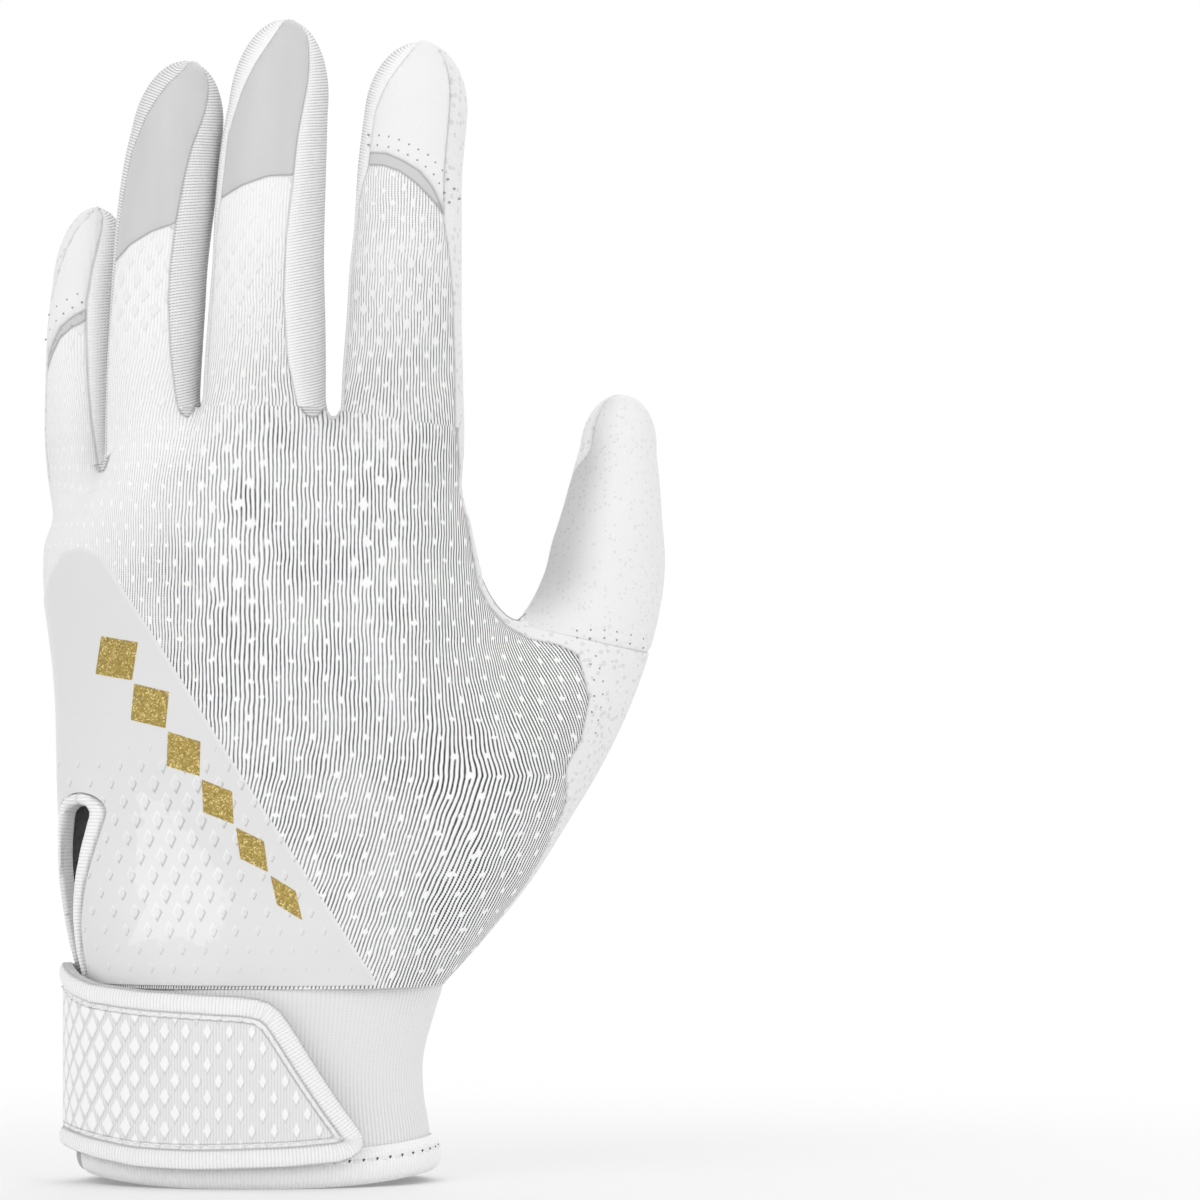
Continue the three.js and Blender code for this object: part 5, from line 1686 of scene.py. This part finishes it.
def gold_look(t):
    # Painted glints: scattered cells of the print are brighter, paler and glossier.
    cells = t.put("TexVoronoi", {"Vector": t.attribute("rest", 1), "Scale": 3.4}, 1)
    glint = t.put("SeparateColor", {0: cells})
    fine = t.noise(3.0, 2.0)
    tone = t.plus(t.times(glint, 0.65), t.line(fine, 0.5, 0.45))
    colour = t.mix(t.smooth(glint, 0.75, 0.98), tint("gold"), (0.62, 0.50, 0.22, 1))
    return t.shade(tone, colour), t.times(glint, 0.06), t.smooth(glint, 0.0, 1.0, 0.55, 0.3)


def mesh_look(t):
    x, _, z = t.split("rest")[0:3]
    lean = t.plus(x, z)
    other = t.less(x, z)
    a = t.group("Ribs", Place=lean, Along=other, Pitch=0.85, Waver=0.1, Reach=0.3, Stitch=1.0)
    b = t.group("Ribs", Place=other, Along=lean, Pitch=0.85, Waver=0.1, Reach=0.3, Stitch=1.0)
    # Painted shade in the holes of the mesh.
    holes = t.times(a["Gap shade"], b["Gap shade"])
    shade = t.group("Seam shade", Width=0.7, Depth=0.35, Uneven=0.1)["Shade"]
    height = t.times(t.plus(a["Height"], b["Height"]), 0.08)
    return t.shade(shade, t.mix(t.line(holes, 0.5, 0.1), rgb(196), rgb(90))), height


def thread_look(t):
    twist = t.maths("SINE", t.times(t.split("rest")[2], 9.0))
    return t.mix(t.smooth(t.noise(1.5, 2.0), 0.35, 0.7, 0.0, 0.6), rgb(250), rgb(222)), t.times(twist, 0.03)


# Painted shade: dark discs stand for the shade inside the stitch holes, pin holes and vents.
def shaded_hole_look(tone):
    return lambda t: (t.mix(t.noise(1.0, 2.0), rgb(tone), rgb(tone + 30)), t.noise(2.0, 2.0))


def pile_look(scale, tone, depth):
    def look(t):
        tufts = t.put("TexVoronoi", {"Vector": t.attribute("rest", 1), "Scale": scale})
        # Painted shade in the hollows between the tufts.
        shade = t.smooth(tufts, 0.15, 0.75, 1.0, depth)
        return t.shade(shade, rgb(tone)), t.times(tufts, -0.35)
    return look


LOOKS = {
    "Knit": (knit_look, dict(roughness=0.9, bump=0.45, Sheen_Weight=0.15, Sheen_Roughness=0.5)),
    "Ribbed strip": (strip_look, dict(roughness=0.9, bump=0.5, Sheen_Weight=0.1, Sheen_Roughness=0.5)),
    "Smooth cap": (cap_look, dict(bump=0.2, Specular_IOR_Level=0.4)),
    "Smooth leather": (leather_look(1.0, 0.2, 0.4, 0.02, 0.35), dict(roughness=0.62, bump=0.3, Specular_IOR_Level=0.35)),
    "Thumb leather": (leather_look(1.1, 0.6, 1.0, 0.08, 0.9, 0.3), dict(roughness=0.66, bump=0.4, Specular_IOR_Level=0.35)),
    "Pebbled leather": (leather_look(1.7, 1.0, 0.9, 0.13), dict(roughness=0.66, bump=0.5, Specular_IOR_Level=0.35)),
    "Binding": (tape_look(0.72, 0.2), dict(roughness=0.85, bump=0.45)),
    "Hem tape": (tape_look(0.85, 0.1), dict(roughness=0.85, bump=0.45)),
    "Cuff knit": (cuff_look, dict(roughness=0.9, bump=0.4, Sheen_Weight=0.1, Sheen_Roughness=0.5)),
    "Strap knit": (strap_look, dict(roughness=0.85, bump=0.5)),
    "Shield film": (film_look, dict(roughness=0.3, bump=0.35, Specular_IOR_Level=0.5, Coat_Weight=0.2, Coat_Roughness=0.15)),
    "Gold print": (gold_look, dict(bump=0.3, Metallic=0.35)),
    "Mesh patch": (mesh_look, dict(roughness=0.9, bump=0.5)),
    "Thread": (thread_look, dict(roughness=0.7, bump=0.3)),
    "Stitch hole": (shaded_hole_look(70), dict(roughness=0.95, bump=0.2)),
    "Pin hole": (shaded_hole_look(135), dict(roughness=0.95, bump=0.2)),
    "Vent": (shaded_hole_look(30), dict(roughness=0.9, bump=0.2)),
    "Foam": (pile_look(2.5, 238, 0.8), dict(roughness=0.95, bump=0.3)),
    "Loop pile": (pile_look(1.4, 242, 0.72), dict(roughness=0.95, bump=0.6, Sheen_Weight=0.3, Sheen_Roughness=0.5)),
    "Hook patch": (pile_look(1.0, 240, 0.6), dict(roughness=0.5, bump=0.7)),
}


def make_materials():
    for make in (rib_group, lozenge_group, pebble_group, seam_group):
        make()
    for name, (look, settings) in LOOKS.items():
        finish_material(name, look, **settings)


# Stage


def make_light(name, place, size, power):
    light = bpy.data.lights.new(name, "AREA")
    light.size, light.energy = size, power
    lamp = bpy.data.objects.new(name, light)
    bpy.context.scene.collection.objects.link(lamp)
    lamp.location = place
    aim = Vector((0, 0, 0.12)) - lamp.location
    lamp.rotation_euler = aim.to_track_quat("-Z", "Y").to_euler()


def seen_directly(t):
    """1 for rays from the camera, or from a mirror or glass towards the backdrop."""
    path = t.tree.nodes.new("ShaderNodeLightPath").outputs
    mirrored = t.most(path["Is Glossy Ray"], path["Is Transmission Ray"])
    return t.most(path["Is Camera Ray"], mirrored)


def make_world(level):
    world = bpy.data.worlds.new("Studio")
    bpy.context.scene.world = world
    world.use_nodes = True
    t = Tree(world.node_tree)
    light = world.node_tree.nodes["Background"]
    light.inputs["Color"].default_value = (1, 1, 1, 1)
    light.inputs["Strength"].default_value = level
    white = t.put("Background", {"Color": (1, 1, 1, 1), "Strength": 1.0})
    mix = t.put("MixShader", {0: seen_directly(t), 1: light.outputs[0], 2: white})
    t.link(mix, world.node_tree.nodes["World Output"].inputs["Surface"])


def make_floor(size, colour):
    count = 24
    reach = np.linspace(-size / 2, size / 2, count)
    x, y = (part.ravel() for part in np.meshgrid(reach, reach, indexing="ij"))
    index = np.arange(count * count).reshape(count, count)
    quads = np.stack([index[:-1, :-1], index[1:, :-1], index[1:, 1:], index[:-1, 1:]], -1).reshape(-1, 4)
    mesh = bpy.data.meshes.new("studio_floor")
    mesh.from_pydata(np.column_stack([x, y, x * 0]).tolist(), [], quads.tolist())
    floor = bpy.data.objects.new("studio_floor", mesh)
    bpy.context.scene.collection.objects.link(floor)
    material = bpy.data.materials.new("Studio floor")
    material.use_nodes = True
    t = Tree(material.node_tree)
    shader = material.node_tree.nodes["Principled BSDF"]
    shader.inputs["Base Color"].default_value = (*colour, 1)
    shader.inputs["Roughness"].default_value = 0.95
    white = t.put("Emission", {"Color": (1, 1, 1, 1), "Strength": 1.0})
    place = t.put("TexCoord", out=3)
    far = t.smooth(t.put("VectorMath", {0: place}, 1, operation="LENGTH"), 0.06, 0.34, 0.25, 1.0)
    mix = t.put("MixShader", {0: t.times(seen_directly(t), far), 1: shader.outputs[0], 2: white})
    t.link(mix, material.node_tree.nodes["Material Output"].inputs["Surface"])
    mesh.materials.append(material)


# Millimetres: the width that the camera takes in at the glove, and the middle of its picture in the CAD's own frame.
VIEW_WIDTH, VIEW_MIDDLE = 252, (73.7, 0, 121.8)


def make_camera(distance):
    camera = bpy.data.cameras.new("photo_view")
    camera.lens = camera.sensor_width * distance * 1000 / VIEW_WIDTH
    camera.clip_end = 50
    eye = bpy.data.objects.new("photo_view", camera)
    bpy.context.scene.collection.objects.link(eye)
    eye.location = (np.array(VIEW_MIDDLE) + SHIFT) / 1000 - np.array((0, distance, 0))
    eye.rotation_euler = (math.pi / 2, 0, 0)
    bpy.context.scene.camera = eye


# Sizes a user would change, and the steps of the making

PAD_WALL, CUFF_WALL, STRAP_WALL = 0.8, 1.2, 1.4


def size(name, description, value, low, high):
    """A size in millimetres."""
    return FloatProperty(name=name, description=description, default=value, min=low, max=high)


class GloveSizes(PropertyGroup):
    wall: size("Panel wall", "Thickness of the knit and leather panels", 1.0, 0.4, 1.4)
    pad_height: size("Pad height", "How far the palm pads stand proud", 3.0, 1, 4)
    tape_width: size("Tape width", "Width of the strap's edge tape", 4.2, 2, 6)
    vent_radius: size("Vent radius", "Radius of the vent holes in the palm", 0.7, 0.3, 1.2)


def colour(name, description, value):
    return FloatVectorProperty(name=name, description=description, default=value, subtype="COLOR", size=3, min=0, max=1)


class GloveColours(PropertyGroup):
    leather: colour("Leather", "Colour of the palm, thumb and fingertip leather", rgb(240)[:3])
    knit: colour("Knit", "Colour of the back's ribs", rgb(249)[:3])
    ribbed: colour("Side strips", "Colour of the ribbed strips and webs between the fingers", rgb(253)[:3])
    cap: colour("Finger caps", "Colour of the smooth caps and crescents", rgb(209)[:3])
    film: colour("Shield film", "Colour of the film on the back", rgb(228)[:3])
    gold: colour("Motif", "Colour of the row of lozenges", (0.40, 0.29, 0.07))
    cuff: colour("Cuff", "Colour of the cuff's knit", rgb(238)[:3])
    strap: colour("Strap", "Colour of the strap's knit between its lozenges", rgb(236)[:3])
    tape: colour("Edge tape", "Colour of the hem, the slit's binding and the strap's edge", rgb(252)[:3])


class StudioSettings(PropertyGroup):
    distance: FloatProperty(name="Camera distance", description="From the camera to the glove", default=1.5, unit="LENGTH")
    level: FloatProperty(name="Daylight", description="Strength of the even light from all round", default=0.8, min=0)
    key: FloatProperty(name="Key light", description="Power of the main soft lamp", default=5.0, min=0, unit="POWER")
    floor_colour: colour("Floor", "Colour of the floor", (0.86, 0.86, 0.86))


class GLOVE_OT_materials(Operator):
    """Make the knit, leather, tape, film and thread materials"""
    bl_idname = "glove.materials"
    bl_label = "Materials"

    def execute(self, context):
        make_materials()
        return {"FINISHED"}


class GLOVE_OT_surface(Operator):
    """Work out the surface of the hand and of each finger"""
    bl_idname = "glove.surface"
    bl_label = "Surface"

    def execute(self, context):
        make_nets()
        return {"FINISHED"}


class GLOVE_OT_fingers(Operator):
    """Make the knit backs, caps, tips, side strips and palm leather of the four fingers"""
    bl_idname = "glove.fingers"
    bl_label = "Fingers"

    def execute(self, context):
        for name in FINGERS:
            make_finger(name, context.scene.glove_sizes.wall)
        return {"FINISHED"}


class GLOVE_OT_thumb(Operator):
    """Make the thumb's two leather panels"""
    bl_idname = "glove.thumb"
    bl_label = "Thumb"

    def execute(self, context):
        make_thumb(context.scene.glove_sizes.wall)
        return {"FINISHED"}


class GLOVE_OT_hand(Operator):
    """Make the back knit, the palm leather, the webs and the mesh patch"""
    bl_idname = "glove.hand"
    bl_label = "Hand"

    def execute(self, context):
        make_hand(context.scene.glove_sizes.wall)
        return {"FINISHED"}


class GLOVE_OT_slit_binding(Operator):
    """Bind the slit in the little-finger side"""
    bl_idname = "glove.slit_binding"
    bl_label = "Slit binding"

    def execute(self, context):
        make_slit_binding(context.scene.glove_sizes.wall)
        return {"FINISHED"}


class GLOVE_OT_shield(Operator):
    """Lay the film on the back and print the row of lozenges on it"""
    bl_idname = "glove.shield"
    bl_label = "Shield film"

    def execute(self, context):
        make_shield()
        return {"FINISHED"}


class GLOVE_OT_pads(Operator):
    """Swell the two palm pads over their filling"""
    bl_idname = "glove.pads"
    bl_label = "Palm pads"

    def execute(self, context):
        for name, outline in PADS.items():
            make_pad(name, outline, context.scene.glove_sizes.pad_height, PAD_WALL)
        return {"FINISHED"}


class GLOVE_OT_cuff(Operator):
    """Make the knit cuff, its hem tape and the loop patch"""
    bl_idname = "glove.cuff"
    bl_label = "Cuff"

    def execute(self, context):
        make_cuff(CUFF_WALL)
        return {"FINISHED"}


class GLOVE_OT_strap(Operator):
    """Make the strap, its edge tape, its hook patch and its anchor"""
    bl_idname = "glove.strap"
    bl_label = "Strap"

    def execute(self, context):
        make_strap(STRAP_WALL, context.scene.glove_sizes.tape_width)
        return {"FINISHED"}


class GLOVE_OT_stitching(Operator):
    """Sew the seams of palm, pads, hem and strap"""
    bl_idname = "glove.stitching"
    bl_label = "Stitching"

    def execute(self, context):
        make_stitching()
        make_hem_stitches()
        return {"FINISHED"}


class GLOVE_OT_vents(Operator):
    """Punch the vent holes in the palm leather of the fingers"""
    bl_idname = "glove.vents"
    bl_label = "Vents"

    def execute(self, context):
        make_vents(context.scene.glove_sizes.vent_radius)
        return {"FINISHED"}


class GLOVE_OT_studio(Operator):
    """Set up the floor, the soft light and the camera"""
    bl_idname = "glove.studio"
    bl_label = "Studio"

    def execute(self, context):
        studio = context.scene.glove_studio
        context.scene.view_settings.view_transform = "Standard"
        make_world(studio.level)
        make_floor(6.0, tuple(studio.floor_colour))
        make_light("key_light", (-0.8, -1.1, 1.1), 1.2, studio.key)
        make_light("fill_light", (0.9, -1.0, 0.6), 1.2, studio.key * 0.5)
        make_light("back_light", (0.2, 1.2, 0.9), 1.2, studio.key * 0.9)
        make_camera(studio.distance)
        return {"FINISHED"}


STEPS = (
    GLOVE_OT_materials, GLOVE_OT_surface, GLOVE_OT_fingers, GLOVE_OT_thumb, GLOVE_OT_hand, GLOVE_OT_slit_binding,
    GLOVE_OT_shield, GLOVE_OT_pads, GLOVE_OT_cuff, GLOVE_OT_strap, GLOVE_OT_stitching, GLOVE_OT_vents, GLOVE_OT_studio,
)


class GLOVE_PT_panel(Panel):
    bl_label = "Batting Glove"
    bl_idname = "GLOVE_PT_panel"
    bl_space_type = "VIEW_3D"
    bl_region_type = "UI"
    bl_category = "Glove"

    def draw(self, context):
        scene = context.scene
        for group in (scene.glove_sizes, scene.glove_colours, scene.glove_studio):
            for key in type(group).__annotations__:
                self.layout.prop(group, key)
        for step in STEPS:
            self.layout.operator(step.bl_idname)


CLASSES = (GloveSizes, GloveColours, StudioSettings, *STEPS, GLOVE_PT_panel)


def register():
    for cls in CLASSES:
        bpy.utils.register_class(cls)
    bpy.types.Scene.glove_sizes = PointerProperty(type=GloveSizes)
    bpy.types.Scene.glove_colours = PointerProperty(type=GloveColours)
    bpy.types.Scene.glove_studio = PointerProperty(type=StudioSettings)


def unregister():
    del bpy.types.Scene.glove_studio, bpy.types.Scene.glove_colours, bpy.types.Scene.glove_sizes
    for cls in reversed(CLASSES):
        bpy.utils.unregister_class(cls)


def main():
    register()
    for step in STEPS:
        group, name = step.bl_idname.split(".")
        getattr(getattr(bpy.ops, group), name)()


if __name__ == "__main__":
    main()
